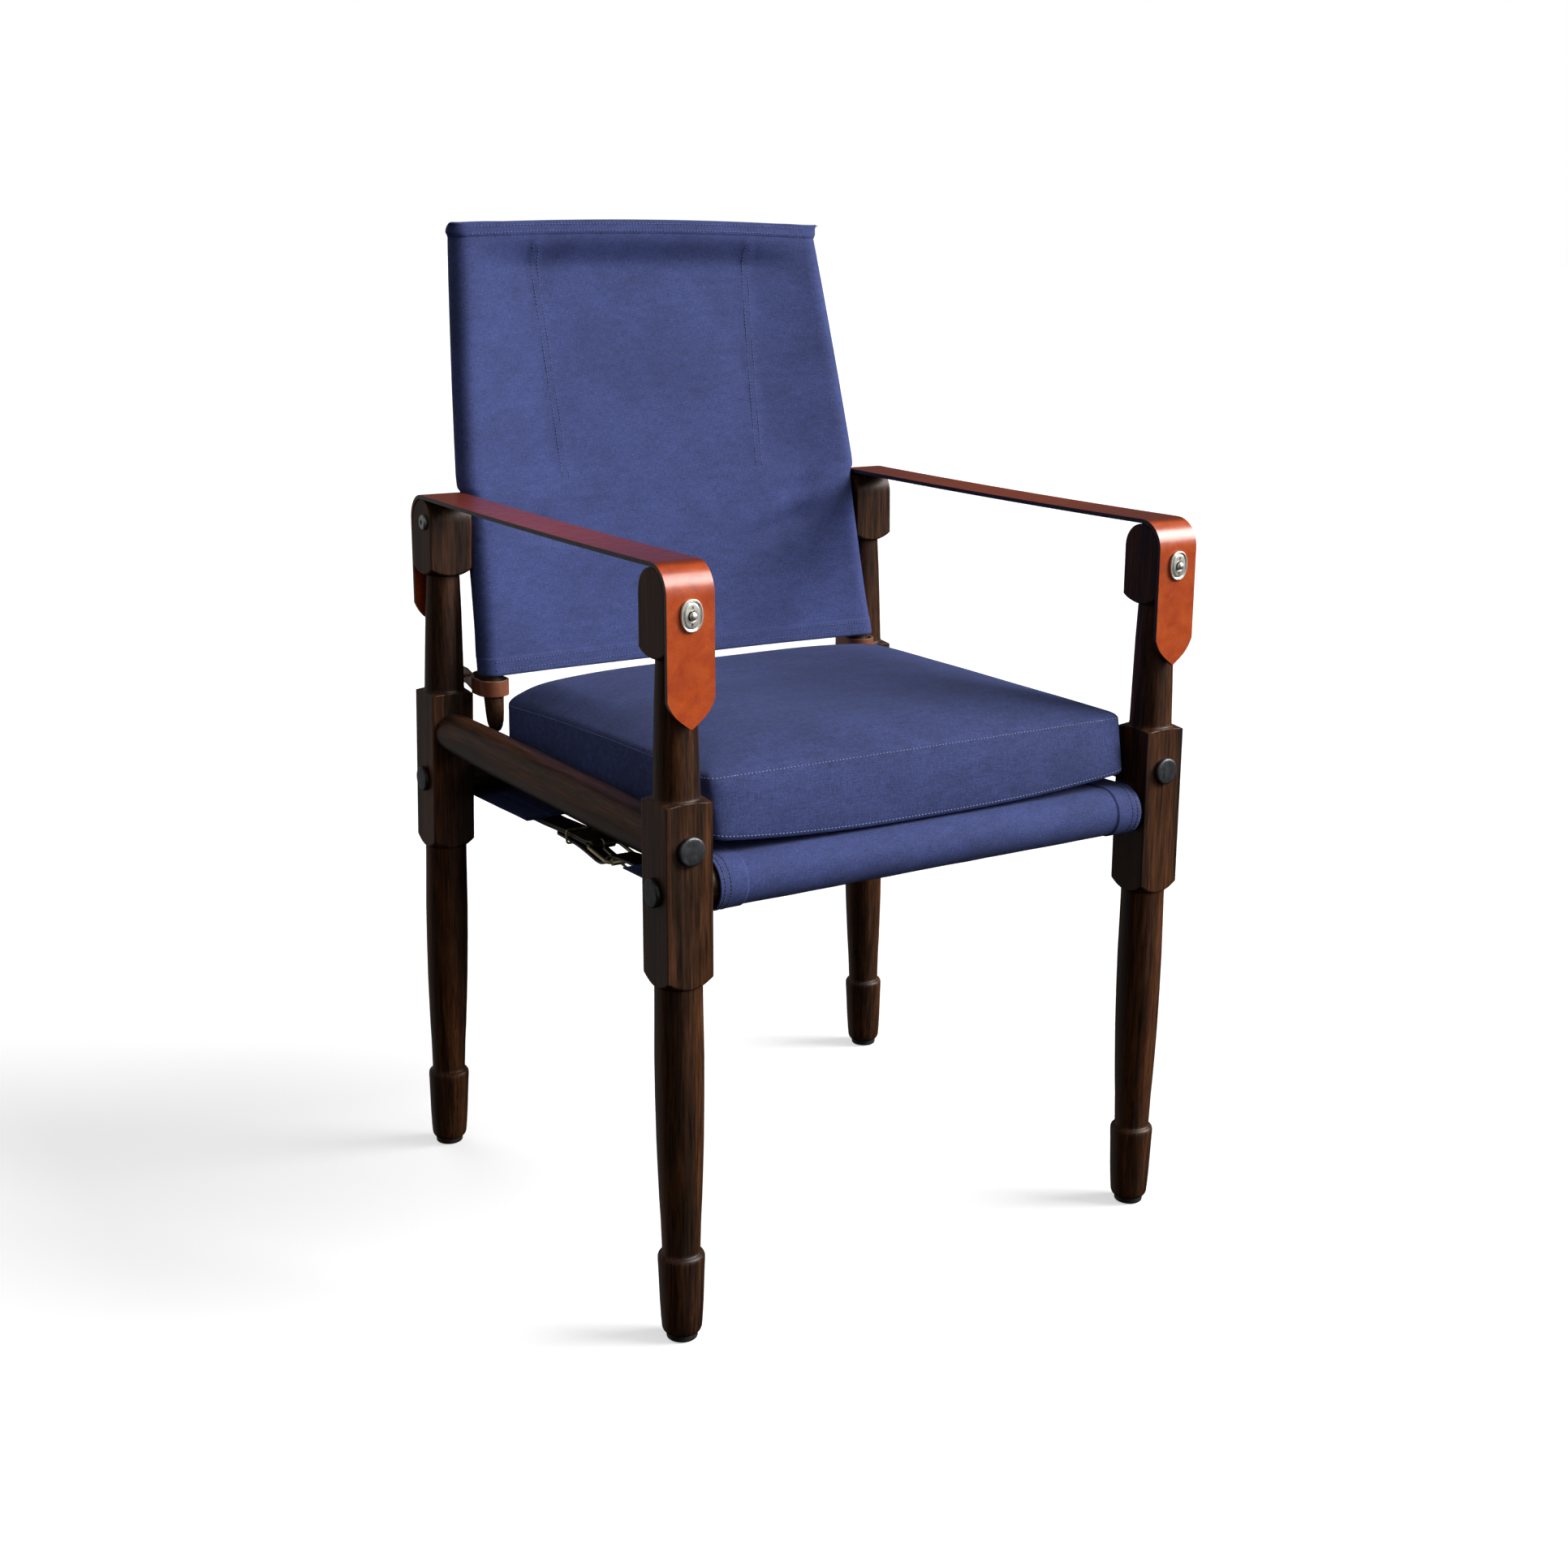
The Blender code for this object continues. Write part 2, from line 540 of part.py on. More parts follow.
def strap_front_outline():
    """The strap from in front: parallel edges and a pointed lower end."""
    half = STRAP_WIDTH / 2
    shoulder = STRAP_TIP_Z + STRAP_POINT
    point = [(half * math.cos(a) ** 1.25, shoulder - STRAP_POINT * math.sin(a))
             for a in map(math.radians, (0, 20, 40, 60, 75))]
    right = [(half, 0.75), *point, (0.0, STRAP_TIP_Z)]
    return right + [(-x, z) for x, z in reversed(right[:-1])]


def make_arm_strap(side):
    """Leather over both heads. It drifts inward with the rear leg, so its mesh is sheared to follow."""
    drift = (leg_point("rear", side, STUD_Z).x - leg_point("front", side, STUD_Z).x) / LEG_DEPTH
    shear = shift(side * FRONT_X - drift * FRONT_Y, 0.0, 0.0) @ Matrix.Shear("YZ", 3, (0, 0)).to_4x4()
    shear[0][1] = drift
    name = side_name(side)
    strap = plate("arm_strap_" + name, [strap_outline()], STRAP_WIDTH, TAN_LEATHER, Matrix.Identity(4))
    strap.data.transform(shear @ side_view())
    mask = plate(name + "_strap_mask", [strap_front_outline()], 0.8, None, Matrix.Identity(4))
    mask.data.transform(shear @ Matrix.Rotation(math.pi / 2, 4, "X"))
    boolean(strap, mask, "INTERSECT")
    return strap


def make_fastener(end, side, leg, strap):
    """A ball stud screwed into the head, through the strap and the socket plate riveted to it."""
    name = f"{end}_{side_name(side)}"
    axis = leg_point(end, side, STUD_Z)
    forward = -1 if end == "front" else 1
    place = aimed(axis, (0.0, forward, 0.0))
    wood = HALF_STOCK
    leather = wood + GAP + STRAP_THICK
    socket = leather + 0.0006
    front = socket + SOCKET_THICK
    turned("strap_stud_" + name, [
        (0.0, front + 0.0034), (0.0024, front + 0.0030), (0.0035, front + 0.0014), (0.0030, front - 0.0002),
        (0.0024, front - 0.0012), (0.0036, socket - 0.0004), (0.0036, wood + 0.0004), (0.0018, wood),
        (0.0018, wood - 0.016), (0.0, wood - 0.018),
    ], NICKEL, place, 10)
    boolean(leg, rod(name + "_screw_hole", 0.0024, wood - 0.019, wood + 0.01, None, place, HIDDEN_SIDES))
    boolean(strap, rod(name + "_strap_hole", STUD_HOLE, wood - 0.003, leather + 0.004, None, place))
    upright = Matrix.Translation(axis + Vector((0.0, forward * (socket + SOCKET_THICK / 2), 0.0)))
    plate("strap_socket_" + name, [oval(SOCKET_HALF_WIDTH, SOCKET_HALF_HEIGHT, 16), oval(0.0046, 0.0046, 10)],
          SOCKET_THICK, NICKEL, upright @ Matrix.Rotation(math.pi / 2, 4, "X"))


def make_arms(legs):
    for side in (-1, 1):
        strap = make_arm_strap(side)
        for end in ("front", "rear"):
            make_fastener(end, side, legs[end, side], strap)


# Cinch straps


def heel_z():
    return lower_run_z(HEEL_Y) - CANVAS / 2 - GAP - CHAPE_THICK / 2


def make_chape(number, x):
    """Folded leather under the rear flap, with an eye round the buckle's heel bar, slotted for the prong."""
    outer, inner = CHAPE_THICK, WIRE_RADIUS + GAP
    eye = (HEEL_Y, heel_z())
    rear_z = lower_run_z(CHAPE_END) - CANVAS / 2 - GAP
    outline = [(CHAPE_END, rear_z), *arc(eye, outer, 30, 330, 14), (CHAPE_END, rear_z - CHAPE_THICK)]
    hole = arc(eye, inner, 0, 330, 11)
    chape = plate(f"cinch_chape_{number}", [outline, hole], CINCH_WIDTH, OXBLOOD_LEATHER, side_view(x))
    slot = [(HEEL_Y - 0.008, eye[1] - 0.009), (HEEL_Y + 0.0066, eye[1] - 0.009),
            (HEEL_Y + 0.0066, eye[1] + 0.009), (HEEL_Y - 0.008, eye[1] + 0.009)]
    boolean(chape, plate(f"prong_slot_{number}", [slot], 0.0050, None, side_view(x)))


def make_buckle(number, x):
    """A wire frame, its heel bar in the chape and its front bar lower."""
    rise = math.atan2(heel_z() - ROLLER_Z, HEEL_Y - ROLLER_Y)
    length = math.hypot(heel_z() - ROLLER_Z, HEEL_Y - ROLLER_Y)
    corner, half = BUCKLE_CORNER, BUCKLE_HALF_WIDTH
    outline = [
        *arc((half - corner, length - corner), corner, 0, 90, 3),
        *arc((corner - half, length - corner), corner, 90, 180, 3),
        *arc((corner - half, corner), corner, 180, 270, 3),
        *arc((half - corner, corner), corner, 270, 360, 3),
    ]
    place = shift(x, ROLLER_Y, ROLLER_Z) @ Matrix.Rotation(rise, 4, "X")
    points = [(px, py, 0.0) for px, py in outline]
    wire(f"cinch_buckle_{number}", points, WIRE_RADIUS, BRASS, place, closed=True)


def prong_line():
    """Where the prong's tongue leaves its ring, and its tip under the roller, from the heel bar: (Y, Z)."""
    ring = WIRE_RADIUS + 0.0004 + PRONG_RADIUS
    tip_z = ROLLER_Z - ROLLER_RADIUS - PRONG_RADIUS - 0.0003 - heel_z()
    return ring, Vector((ROLLER_Y - PRONG_OVERHANG - HEEL_Y, tip_z))


def make_prong(number, x):
    """A tongue that hooks round the heel bar. Its origin is on the bar's axis."""
    ring, tip = prong_line()
    hook = [(0.0, y, z) for y, z in arc((0.0, 0.0), ring, -10, 260, 9)]
    points = [*hook, (0.0, tip.x * 0.5, (tip.y - ring) * 0.5), (0.0, tip.x, tip.y)]
    wire(f"cinch_prong_{number}", points, PRONG_RADIUS, BRASS, shift(x, HEEL_Y, heel_z()))


def make_billet(number, x):
    """The strap from the front flap, over the roller and under the heel bar, with the prong through it."""
    route = [(FRONT_Y + y, z) for y, z in smooth_route(BILLET_ROUTE, 2)]
    name, place = f"cinch_billet_{number}", shift(x, 0.0, 0.0)
    billet = ribbon(name, route, CINCH_WIDTH, CINCH_LEATHER, OXBLOOD_LEATHER, place)
    ring, tip = prong_line()
    tongue = Matrix.Rotation(PRONG_SWING / 2, 3, "X") @ Vector((0.0, tip.x, tip.y + ring * 0.5))
    heel = Vector((x, HEEL_Y, heel_z() - ring * 0.5))
    hole = rod(f"prong_hole_{number}", PRONG_HOLE_RADIUS, 0.018, 0.037, None, aimed(heel, tongue), 10)
    boolean(billet, hole)
    for y in BILLET_HOLES:
        place = shift(x, FRONT_Y + y, 0.0)
        boolean(billet, rod(f"punched_hole_{number}_{y}", 0.0022, 0.36, 0.39, None, place, 8))


def make_cinches():
    for number, x in enumerate(CINCH_X, start=1):
        make_chape(number, x)
        make_buckle(number, x)
        make_prong(number, x)
        make_billet(number, x)


def bake_shading():
    """Turns each part into its finished mesh, smooth except at its sharp edges."""
    bpy.context.view_layer.update()
    graph = bpy.context.evaluated_depsgraph_get()
    finished = {obj: bpy.data.meshes.new_from_object(obj.evaluated_get(graph)) for obj in CHAIR.objects}
    for obj, mesh in finished.items():
        obj.modifiers.clear()
        obj.data = mesh
        mesh.shade_smooth()
        mesh.set_sharp_from_angle(angle=math.radians(35))


LEGS = make_frame()
make_posts(LEGS)
make_back_canvas()
make_stay_loops()
make_sling()
make_cushion()
make_arms(LEGS)
make_cinches()
bake_shading()
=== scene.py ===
import math

import bmesh
import bpy
import numpy as np
from mathutils import Matrix, Vector, noise
from mathutils.bvhtree import BVHTree


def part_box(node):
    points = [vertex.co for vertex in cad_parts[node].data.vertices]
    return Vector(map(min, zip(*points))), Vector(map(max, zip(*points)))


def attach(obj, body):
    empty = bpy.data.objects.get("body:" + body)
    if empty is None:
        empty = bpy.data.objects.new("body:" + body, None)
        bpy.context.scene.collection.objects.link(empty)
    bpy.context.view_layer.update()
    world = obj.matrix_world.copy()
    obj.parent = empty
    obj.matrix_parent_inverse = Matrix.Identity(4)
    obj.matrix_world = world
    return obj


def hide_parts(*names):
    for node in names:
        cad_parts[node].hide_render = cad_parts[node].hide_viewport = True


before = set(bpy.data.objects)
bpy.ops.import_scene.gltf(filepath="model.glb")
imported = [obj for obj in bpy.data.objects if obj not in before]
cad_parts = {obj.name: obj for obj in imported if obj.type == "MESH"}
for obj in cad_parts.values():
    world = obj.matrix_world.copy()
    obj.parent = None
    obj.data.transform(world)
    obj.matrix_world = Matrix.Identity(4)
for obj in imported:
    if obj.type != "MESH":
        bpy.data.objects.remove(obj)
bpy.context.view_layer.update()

# Sizes, in metres. The floor is Z = 0 and the chair faces -Y.
FRONT_Y = -0.2669
REAR_Y = FRONT_Y + 0.4899
FRONT_X, REAR_X = 0.2612, 0.2702
FRONT_LEAN, REAR_SPLAY = 0.0109, 0.0229
HALF_STOCK = 0.02225
LEG_SIDES = 64
HEAD_TOP = 0.69
ARCH_Z = HEAD_TOP - HALF_STOCK
SIDE_RAIL_Z, FRONT_RAIL_Z, REAR_RAIL_Z = 0.4547, 0.4165, 0.405
SHOULDER = HALF_STOCK + 0.0008

PIVOT_X, PIVOT_Y, PIVOT_Z = 0.215, FRONT_Y + 0.483, 0.668
POST_TAPER, RECLINE = 0.055, 0.218
SLEEVE = 0.0148  # radius of the canvas round a post

SLING_HALF_WIDTH, SLING_RADIUS = 0.2327, 0.0222
FRONT_FLAP_Y, REAR_FLAP_Y = FRONT_Y + 0.156, FRONT_Y + 0.357

STRAP_THICK, STRAP_HALF = 0.004, 0.0225
STRAP_TIP_Z, STUD_Z = 0.558, 0.6527
POINT_LENGTH = 0.031  # of a strap's pointed end

CINCH_X = (-0.205, 0.0, 0.205)
CINCH_HALF = 0.0125
HEEL_Y, ROLLER_Y, ROLLER_Z = FRONT_Y + 0.249, FRONT_Y + 0.207, 0.379
HEEL_Z = 0.38456
BILLET_ROUTE = [
    (0.118, 0.3884), (0.156, 0.3875), (0.188, 0.3862), (0.204, 0.3845), (0.2125, 0.3832), (0.2175, 0.3797),
    (0.2225, 0.3752), (0.2275, 0.3727), (0.237, 0.3719), (0.252, 0.374), (0.275, 0.3771), (0.3, 0.3782),
    (0.335, 0.3785),
]

# Turned shape of a leg as (height, radius). Past the square's corners the radius is only "outside the block".
LEG_TURNING = [
    (0.0066, 0.015), (0.0072, 0.0158), (0.0082, 0.0166), (0.0095, 0.0173), (0.0115, 0.0179), (0.02, 0.0186),
    (0.036, 0.0195), (0.056, 0.0202), (0.07, 0.0207), (0.0765, 0.021), (0.079, 0.02095), (0.0805, 0.0205),
    (0.0817, 0.0197), (0.0824, 0.0188), (0.083, 0.0177), (0.0838, 0.0171), (0.086, 0.017), (0.115, 0.0179),
    (0.134, 0.0189), (0.153, 0.0196), (0.173, 0.0203), (0.19, 0.0208), (0.21, 0.0211), (0.23, 0.0214),
    (0.265, 0.0216), (0.304, 0.0211), (0.322, 0.0209), (0.332, 0.0209), (0.3324, 0.0215), (0.333, 0.0224),
    (0.3352, 0.0252), (0.338, 0.028), (0.3405, 0.0304), (0.3415, 0.0318), (0.344, 0.04), (0.4905, 0.04),
    (0.492, 0.036), (0.4932, 0.0312), (0.4942, 0.0268), (0.4952, 0.02225), (0.4957, 0.0212), (0.4963, 0.0206),
    (0.4975, 0.0202), (0.5, 0.02), (0.534, 0.0192), (0.579, 0.018), (0.612, 0.0166), (0.6133, 0.0165),
    (0.6138, 0.0175), (0.6145, 0.02), (0.6155, 0.0222), (0.6172, 0.0252), (0.6192, 0.028), (0.6215, 0.0304),
    (0.6228, 0.0318), (0.6245, 0.04), (0.7, 0.04),
]


# Finishes


def new_finish(name, colour, roughness, metallic=0.0, **sockets):
    """A material, with its plain values set on the shader's own sockets."""
    finish = bpy.data.materials.new(name)
    finish.use_nodes = True
    shader = finish.node_tree.nodes["Principled BSDF"]
    shader.inputs["Base Color"].default_value = (*colour, 1.0)
    shader.inputs["Roughness"].default_value = roughness
    shader.inputs["Metallic"].default_value = metallic
    for socket, value in sockets.items():
        shader.inputs[socket.replace("_", " ").title().replace("Ior", "IOR")].default_value = value
    return finish


def add_node(finish, kind, settings=None, **sockets):
    """Adds a node. A socket's value is a number, a colour or another node's output."""
    node = finish.node_tree.nodes.new(kind)
    for setting, value in (settings or {}).items():
        setattr(node, setting, value)
    for socket, value in sockets.items():
        target = node.inputs[socket.replace("_", " ")]
        if isinstance(value, bpy.types.NodeSocket):
            finish.node_tree.links.new(value, target)
        else:
            target.default_value = value
    return node


def to_shader(finish, socket, output):
    """Links a node's output to the shader."""
    shader = finish.node_tree.nodes["Principled BSDF"]
    finish.node_tree.links.new(output, shader.inputs[socket])


def stretched(finish, scale, cloth=False):
    """Where the pattern is read: the piece's Object coordinates, or its cloth map, scaled per axis."""
    if cloth:
        source = add_node(finish, "ShaderNodeUVMap", {"uv_map": "cloth"}).outputs["UV"]
    else:
        source = add_node(finish, "ShaderNodeTexCoord").outputs["Object"]
    return add_node(finish, "ShaderNodeMapping", Vector=source, Scale=scale).outputs["Vector"]


def noise_of(finish, where, scale, detail=4.0, rough=0.55, distortion=0.0):
    return add_node(
        finish, "ShaderNodeTexNoise", Vector=where, Scale=scale, Detail=detail, Roughness=rough,
        Distortion=distortion,
    ).outputs["Fac"]


def ramp_of(finish, factor, *stops):
    """A colour ramp from (position, colour) stops; a colour may be one grey number."""
    node = add_node(finish, "ShaderNodeValToRGB", Fac=factor)
    ramp = node.color_ramp
    while len(ramp.elements) < len(stops):
        ramp.elements.new(0.5)
    for element, (position, colour) in zip(ramp.elements, stops):
        element.position = position
        grey = isinstance(colour, float)
        element.color = (colour, colour, colour, 1.0) if grey else (*colour, 1.0)
    return node.outputs["Color"]


def mixed(finish, factor, first, second, blend="MIX"):
    node = finish.node_tree.nodes.new("ShaderNodeMix")
    node.data_type, node.blend_type = "RGBA", blend
    for index, value in ((0, factor), (6, first), (7, second)):
        if isinstance(value, bpy.types.NodeSocket):
            finish.node_tree.links.new(value, node.inputs[index])
        else:
            node.inputs[index].default_value = value if index == 0 else (*value, 1.0)
    return node.outputs[2]


def sums(finish, kind, first, second):
    node = finish.node_tree.nodes.new("ShaderNodeMath")
    node.operation = kind
    for index, value in enumerate((first, second)):
        if isinstance(value, bpy.types.NodeSocket):
            finish.node_tree.links.new(value, node.inputs[index])
        else:
            node.inputs[index].default_value = value
    return node.outputs[0]


def relief(finish, height, strength, depth, under=None):
    """Bump of the stated depth, on top of any bump given as under."""
    node = add_node(finish, "ShaderNodeBump", Strength=strength, Distance=depth, Height=height)
    if under is not None:
        finish.node_tree.links.new(under, node.inputs["Normal"])
    return node.outputs["Normal"]


def walnut(name, grain):
    """Dark oiled walnut whose grain runs along X, Y or Z."""
    finish = new_finish(name, (0.055, 0.018, 0.007), 0.42, specular_IOR_level=0.2)
    slow = [0.05 if axis == grain else 1.0 for axis in "XYZ"]
    slower = [0.012 if axis == grain else 1.0 for axis in "XYZ"]
    wavy = noise_of(finish, stretched(finish, slow), 62.0, 5.0, 0.62, 0.6)
    streaks = noise_of(finish, stretched(finish, slow), 420.0, 5.0, 0.65)
    pores = noise_of(finish, stretched(finish, slower), 1900.0, 2.0, 0.5)
    tone = ramp_of(
        finish, wavy, (0.32, (0.02, 0.0095, 0.005)), (0.46, (0.054, 0.0215, 0.009)),
        (0.58, (0.102, 0.036, 0.0125)), (0.72, (0.156, 0.056, 0.019)),
    )
    fine = ramp_of(finish, streaks, (0.34, 0.34), (0.5, 0.84), (0.66, 1.34))
    flecks = ramp_of(finish, pores, (0.36, 0.35), (0.46, 1.0))
    tone = mixed(finish, 1.0, tone, fine, "MULTIPLY")
    to_shader(finish, "Base Color", mixed(finish, 0.75, tone, flecks, "MULTIPLY"))
    to_shader(finish, "Roughness", ramp_of(finish, streaks, (0.3, 0.36), (0.7, 0.5)))
    under = relief(finish, pores, 0.25, 0.00012)
    to_shader(finish, "Normal", relief(finish, streaks, 0.2, 0.00018, under))
    return finish


def duck(name, cloth, deep, mid, light):
    """Navy cotton duck: a plain weave with slubs, slightly faded where it is rubbed."""
    finish = new_finish(
        name, mid, 0.86, sheen_weight=0.12, sheen_roughness=0.45, sheen_tint=(0.45, 0.5, 0.85, 1.0),
        specular_IOR_level=0.2,
    )
    plain = stretched(finish, (1.0, 1.0, 1.0), cloth)
    warp = noise_of(finish, stretched(finish, (1.0, 0.1, 0.1), cloth), 1500.0, 2.0, 0.5)
    weft = noise_of(finish, stretched(finish, (0.1, 1.0, 1.0), cloth), 1500.0, 2.0, 0.5)
    slubs = noise_of(finish, stretched(finish, (0.3, 1.0, 1.0), cloth), 150.0, 4.0, 0.6)
    clouds = noise_of(finish, plain, 14.0, 4.0, 0.6)
    grain = noise_of(finish, plain, 900.0, 3.0, 0.7)
    threads = mixed(finish, 0.5, warp, weft)
    tone = ramp_of(finish, mixed(finish, 0.45, threads, grain), (0.36, deep), (0.52, mid), (0.68, light))
    patch = ramp_of(finish, clouds, (0.3, 0.84), (0.7, 1.16))
    slub = ramp_of(finish, slubs, (0.3, 0.88), (0.72, 1.12))
    tone = mixed(finish, 1.0, tone, patch, "MULTIPLY")
    to_shader(finish, "Base Color", mixed(finish, 1.0, tone, slub, "MULTIPLY"))
    rows = []
    for axis in "XY":
        row = add_node(finish, "ShaderNodeTexWave", {"bands_direction": axis}, Vector=plain, Scale=480.0)
        rows.append(row.outputs["Fac"])
    weave = sums(finish, "MULTIPLY", *rows)
    under = relief(finish, weave, 0.35, 0.00016)
    to_shader(finish, "Normal", relief(finish, threads, 0.45, 0.00022, under))
    return finish


def bridle(name, deep, mid, light, gloss, top=None):
    """Polished bridle leather, mottled by its dye, with a fine grain; top, if given, is painted shade: a darker
    colour on the strap's upward-facing top face.
    """
    finish = new_finish(name, mid, gloss, coat_weight=0.5, coat_roughness=0.23, specular_IOR_level=0.27)
    plain = stretched(finish, (1.0, 1.0, 1.0))
    dye = noise_of(finish, plain, 46.0, 5.0, 0.6, 0.4)
    pores = noise_of(finish, plain, 1300.0, 3.0, 0.6)
    creases = noise_of(finish, stretched(finish, (0.35, 1.0, 1.0)), 240.0, 4.0, 0.6, 0.5)
    tone = ramp_of(finish, dye, (0.3, deep), (0.5, mid), (0.72, light))
    # Painted shade: above the strap's upper run the colour blends by height into the darker top colour,
    # standing in for the shade and dark reflection on the top face.
    if top is not None:
        height = add_node(finish, "ShaderNodeSeparateXYZ", Vector=plain).outputs["Z"]
        rise = add_node(
            finish, "ShaderNodeMapRange", {"interpolation_type": "SMOOTHSTEP"}, Value=height,
            **{"From_Min": 0.6905, "From_Max": 0.6942, "To_Min": 0.0, "To_Max": 1.0},
        ).outputs["Result"]
        tone = mixed(finish, rise, tone, top)
    speckle = ramp_of(finish, pores, (0.35, 0.8), (0.6, 1.06))
    to_shader(finish, "Base Color", mixed(finish, 1.0, tone, speckle, "MULTIPLY"))
    to_shader(finish, "Roughness", ramp_of(finish, creases, (0.3, gloss - 0.06), (0.7, gloss + 0.12)))
    under = relief(finish, pores, 0.22, 0.0001)
    to_shader(finish, "Normal", relief(finish, creases, 0.14, 0.0003, under))
    return finish


def plated(name, low, high, roughness, brush):
    """Metal with fine scratches; brush stretches them along Z."""
    finish = new_finish(name, high, roughness, 0.8)
    scratches = noise_of(finish, stretched(finish, (1.0, 1.0, brush)), 900.0, 4.0, 0.7)
    tarnish = noise_of(finish, stretched(finish, (1.0, 1.0, 1.0)), 160.0, 4.0, 0.6)
    to_shader(finish, "Base Color", ramp_of(finish, tarnish, (0.3, low), (0.66, high)))
    worn = ramp_of(finish, scratches, (0.3, roughness - 0.08), (0.7, roughness + 0.14))
    to_shader(finish, "Roughness", worn)
    to_shader(finish, "Normal", relief(finish, scratches, 0.12, 0.00008))
    return finish


def thread_finish(name, deep, light):
    """Twisted polyester thread."""
    finish = new_finish(name, light, 0.55, sheen_weight=0.2)
    twist = noise_of(finish, stretched(finish, (1.0, 1.0, 1.0)), 1800.0, 2.0, 0.5)
    to_shader(finish, "Base Color", ramp_of(finish, twist, (0.35, deep), (0.65, light)))
    return finish


def moulded(name):
    """Black moulded nylon, finely pitted."""
    finish = new_finish(name, (0.018, 0.016, 0.015), 0.55)
    pits = noise_of(finish, stretched(finish, (1.0, 1.0, 1.0)), 700.0, 3.0, 0.6)
    tone = ramp_of(finish, pits, (0.3, (0.012, 0.011, 0.01)), (0.7, (0.028, 0.025, 0.022)))
    to_shader(finish, "Base Color", tone)
    to_shader(finish, "Normal", relief(finish, pits, 0.2, 0.0001))
    return finish


WALNUT_UP = walnut("walnut_grain_up", "Z")
WALNUT_SIDE = walnut("walnut_grain_along_sides", "Y")
WALNUT_CROSS = walnut("walnut_grain_across", "X")
NAVY = ((0.029, 0.04, 0.128), (0.06, 0.082, 0.25), (0.099, 0.134, 0.385))
BACK_DUCK = duck("navy_duck_back", True, *NAVY)
SLING_DUCK = duck("navy_duck_sling", True, *NAVY)
CUSHION_DUCK = duck("navy_duck_cushion", False, *(tuple(part * 0.86 for part in tone) for tone in NAVY))
# The top colour here is painted shade on the arm strap's upward-facing top face, not the leather's own colour.
TAN = bridle(
    "chestnut_bridle", (0.47, 0.053, 0.007), (0.63, 0.086, 0.01), (0.74, 0.13, 0.018), 0.38,
    top=(0.205, 0.026, 0.008),
)
LOOP_TAN = bridle("chestnut_loops", (0.22, 0.066, 0.028), (0.31, 0.096, 0.042), (0.4, 0.135, 0.06), 0.46)
TAN_EDGE = bridle("burnished_edge", (0.012, 0.009, 0.007), (0.02, 0.015, 0.012), (0.032, 0.024, 0.018), 0.45)
LOOP_EDGE = bridle("cut_edge", (0.12, 0.08, 0.062), (0.19, 0.135, 0.11), (0.27, 0.2, 0.17), 0.6)
OXBLOOD = bridle("oxblood_bridle", (0.024, 0.009, 0.006), (0.046, 0.015, 0.009), (0.078, 0.025, 0.014), 0.36)
GUNMETAL = plated("brushed_gunmetal", (0.045, 0.046, 0.05), (0.085, 0.087, 0.092), 0.42, 0.08)
ZINC = plated("zinc_plate", (0.4, 0.4, 0.41), (0.58, 0.58, 0.58), 0.38, 1.0)
NICKEL = plated("nickel_plate", (0.66, 0.64, 0.57), (0.9, 0.89, 0.83), 0.36, 1.0)
BRASS = plated("pale_brass", (0.66, 0.55, 0.3), (0.88, 0.77, 0.48), 0.38, 1.0)
NYLON = moulded("black_nylon")
PALE_THREAD = thread_finish("pale_blue_thread", (0.13, 0.18, 0.4), (0.25, 0.33, 0.62))
NAVY_THREAD = thread_finish("navy_thread", (0.045, 0.065, 0.19), (0.1, 0.14, 0.36))
DARK_THREAD = thread_finish("dark_thread", (0.006, 0.008, 0.026), (0.014, 0.018, 0.055))


# Making pieces


def add_piece(work, name, body, finishes, stands_for=(), crease=35.0):
    """Turns the bmesh into a finished piece that moves with a CAD body."""
    mesh = bpy.data.meshes.new(name)
    work.to_mesh(mesh)
    work.free()
    piece = bpy.data.objects.new(name, mesh)
    bpy.context.scene.collection.objects.link(piece)
    for finish in finishes if isinstance(finishes, (list, tuple)) else [finishes]:
        mesh.materials.append(finish)
    mesh.shade_smooth()
    mesh.set_sharp_from_angle(angle=math.radians(crease))
    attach(piece, body)
    if stands_for:
        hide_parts(*stands_for)
    return piece


def lathe(profile, place, sides=48, work=None):
    """A turning about local Z from (radius, height) points, added to work."""
    work = work or bmesh.new()
    points = [work.verts.new((radius, 0.0, height)) for radius, height in profile]
    edges = [work.edges.new(pair) for pair in zip(points, points[1:])]
    before = set(work.verts) - set(points)
    bmesh.ops.spin(
        work, geom=points + edges, cent=(0, 0, 0), axis=(0, 0, 1), dvec=(0, 0, 0),
        angle=2 * math.pi, steps=sides, use_merge=True,
    )
    turned = [v for v in work.verts if v not in before]
    bmesh.ops.remove_doubles(work, verts=turned, dist=1e-6)
    turned = [v for v in work.verts if v.is_valid and v not in before]
    faces = list({f for v in turned for f in v.link_faces})
    bmesh.ops.recalc_face_normals(work, faces=faces)
    bmesh.ops.transform(work, matrix=place, verts=turned)
    return work


def aimed(point, direction):
    """The placement that puts local Z along direction."""
    turn = Vector(direction).to_track_quat("Z", "Y").to_matrix().to_4x4()
    return Matrix.Translation(point) @ turn


def eased(profile, ease=0.0005):
    """Cuts each inner corner of a profile with two close points, for a small rounded edge."""
    points = [Vector(p) for p in profile]
    out = [points[0]]
    for before, point, after in zip(points, points[1:], points[2:]):
        back, on = before - point, after - point
        size = min(ease, back.length / 2.5, on.length / 2.5)
        for share, along in ((1.0, back), (0.35, back), (0.35, on), (1.0, on)):
            out.append(point + along.normalized() * size * share)
    return [tuple(p) for p in [*out, points[-1]]]


def side_name(side):
    return "right" if side > 0 else "left"


def leg_point(end, side, z):
    if end == "front":
        return Vector((side * FRONT_X, FRONT_Y + FRONT_LEAN * z, z))
    return Vector((side * (REAR_X - REAR_SPLAY * z), REAR_Y, z))


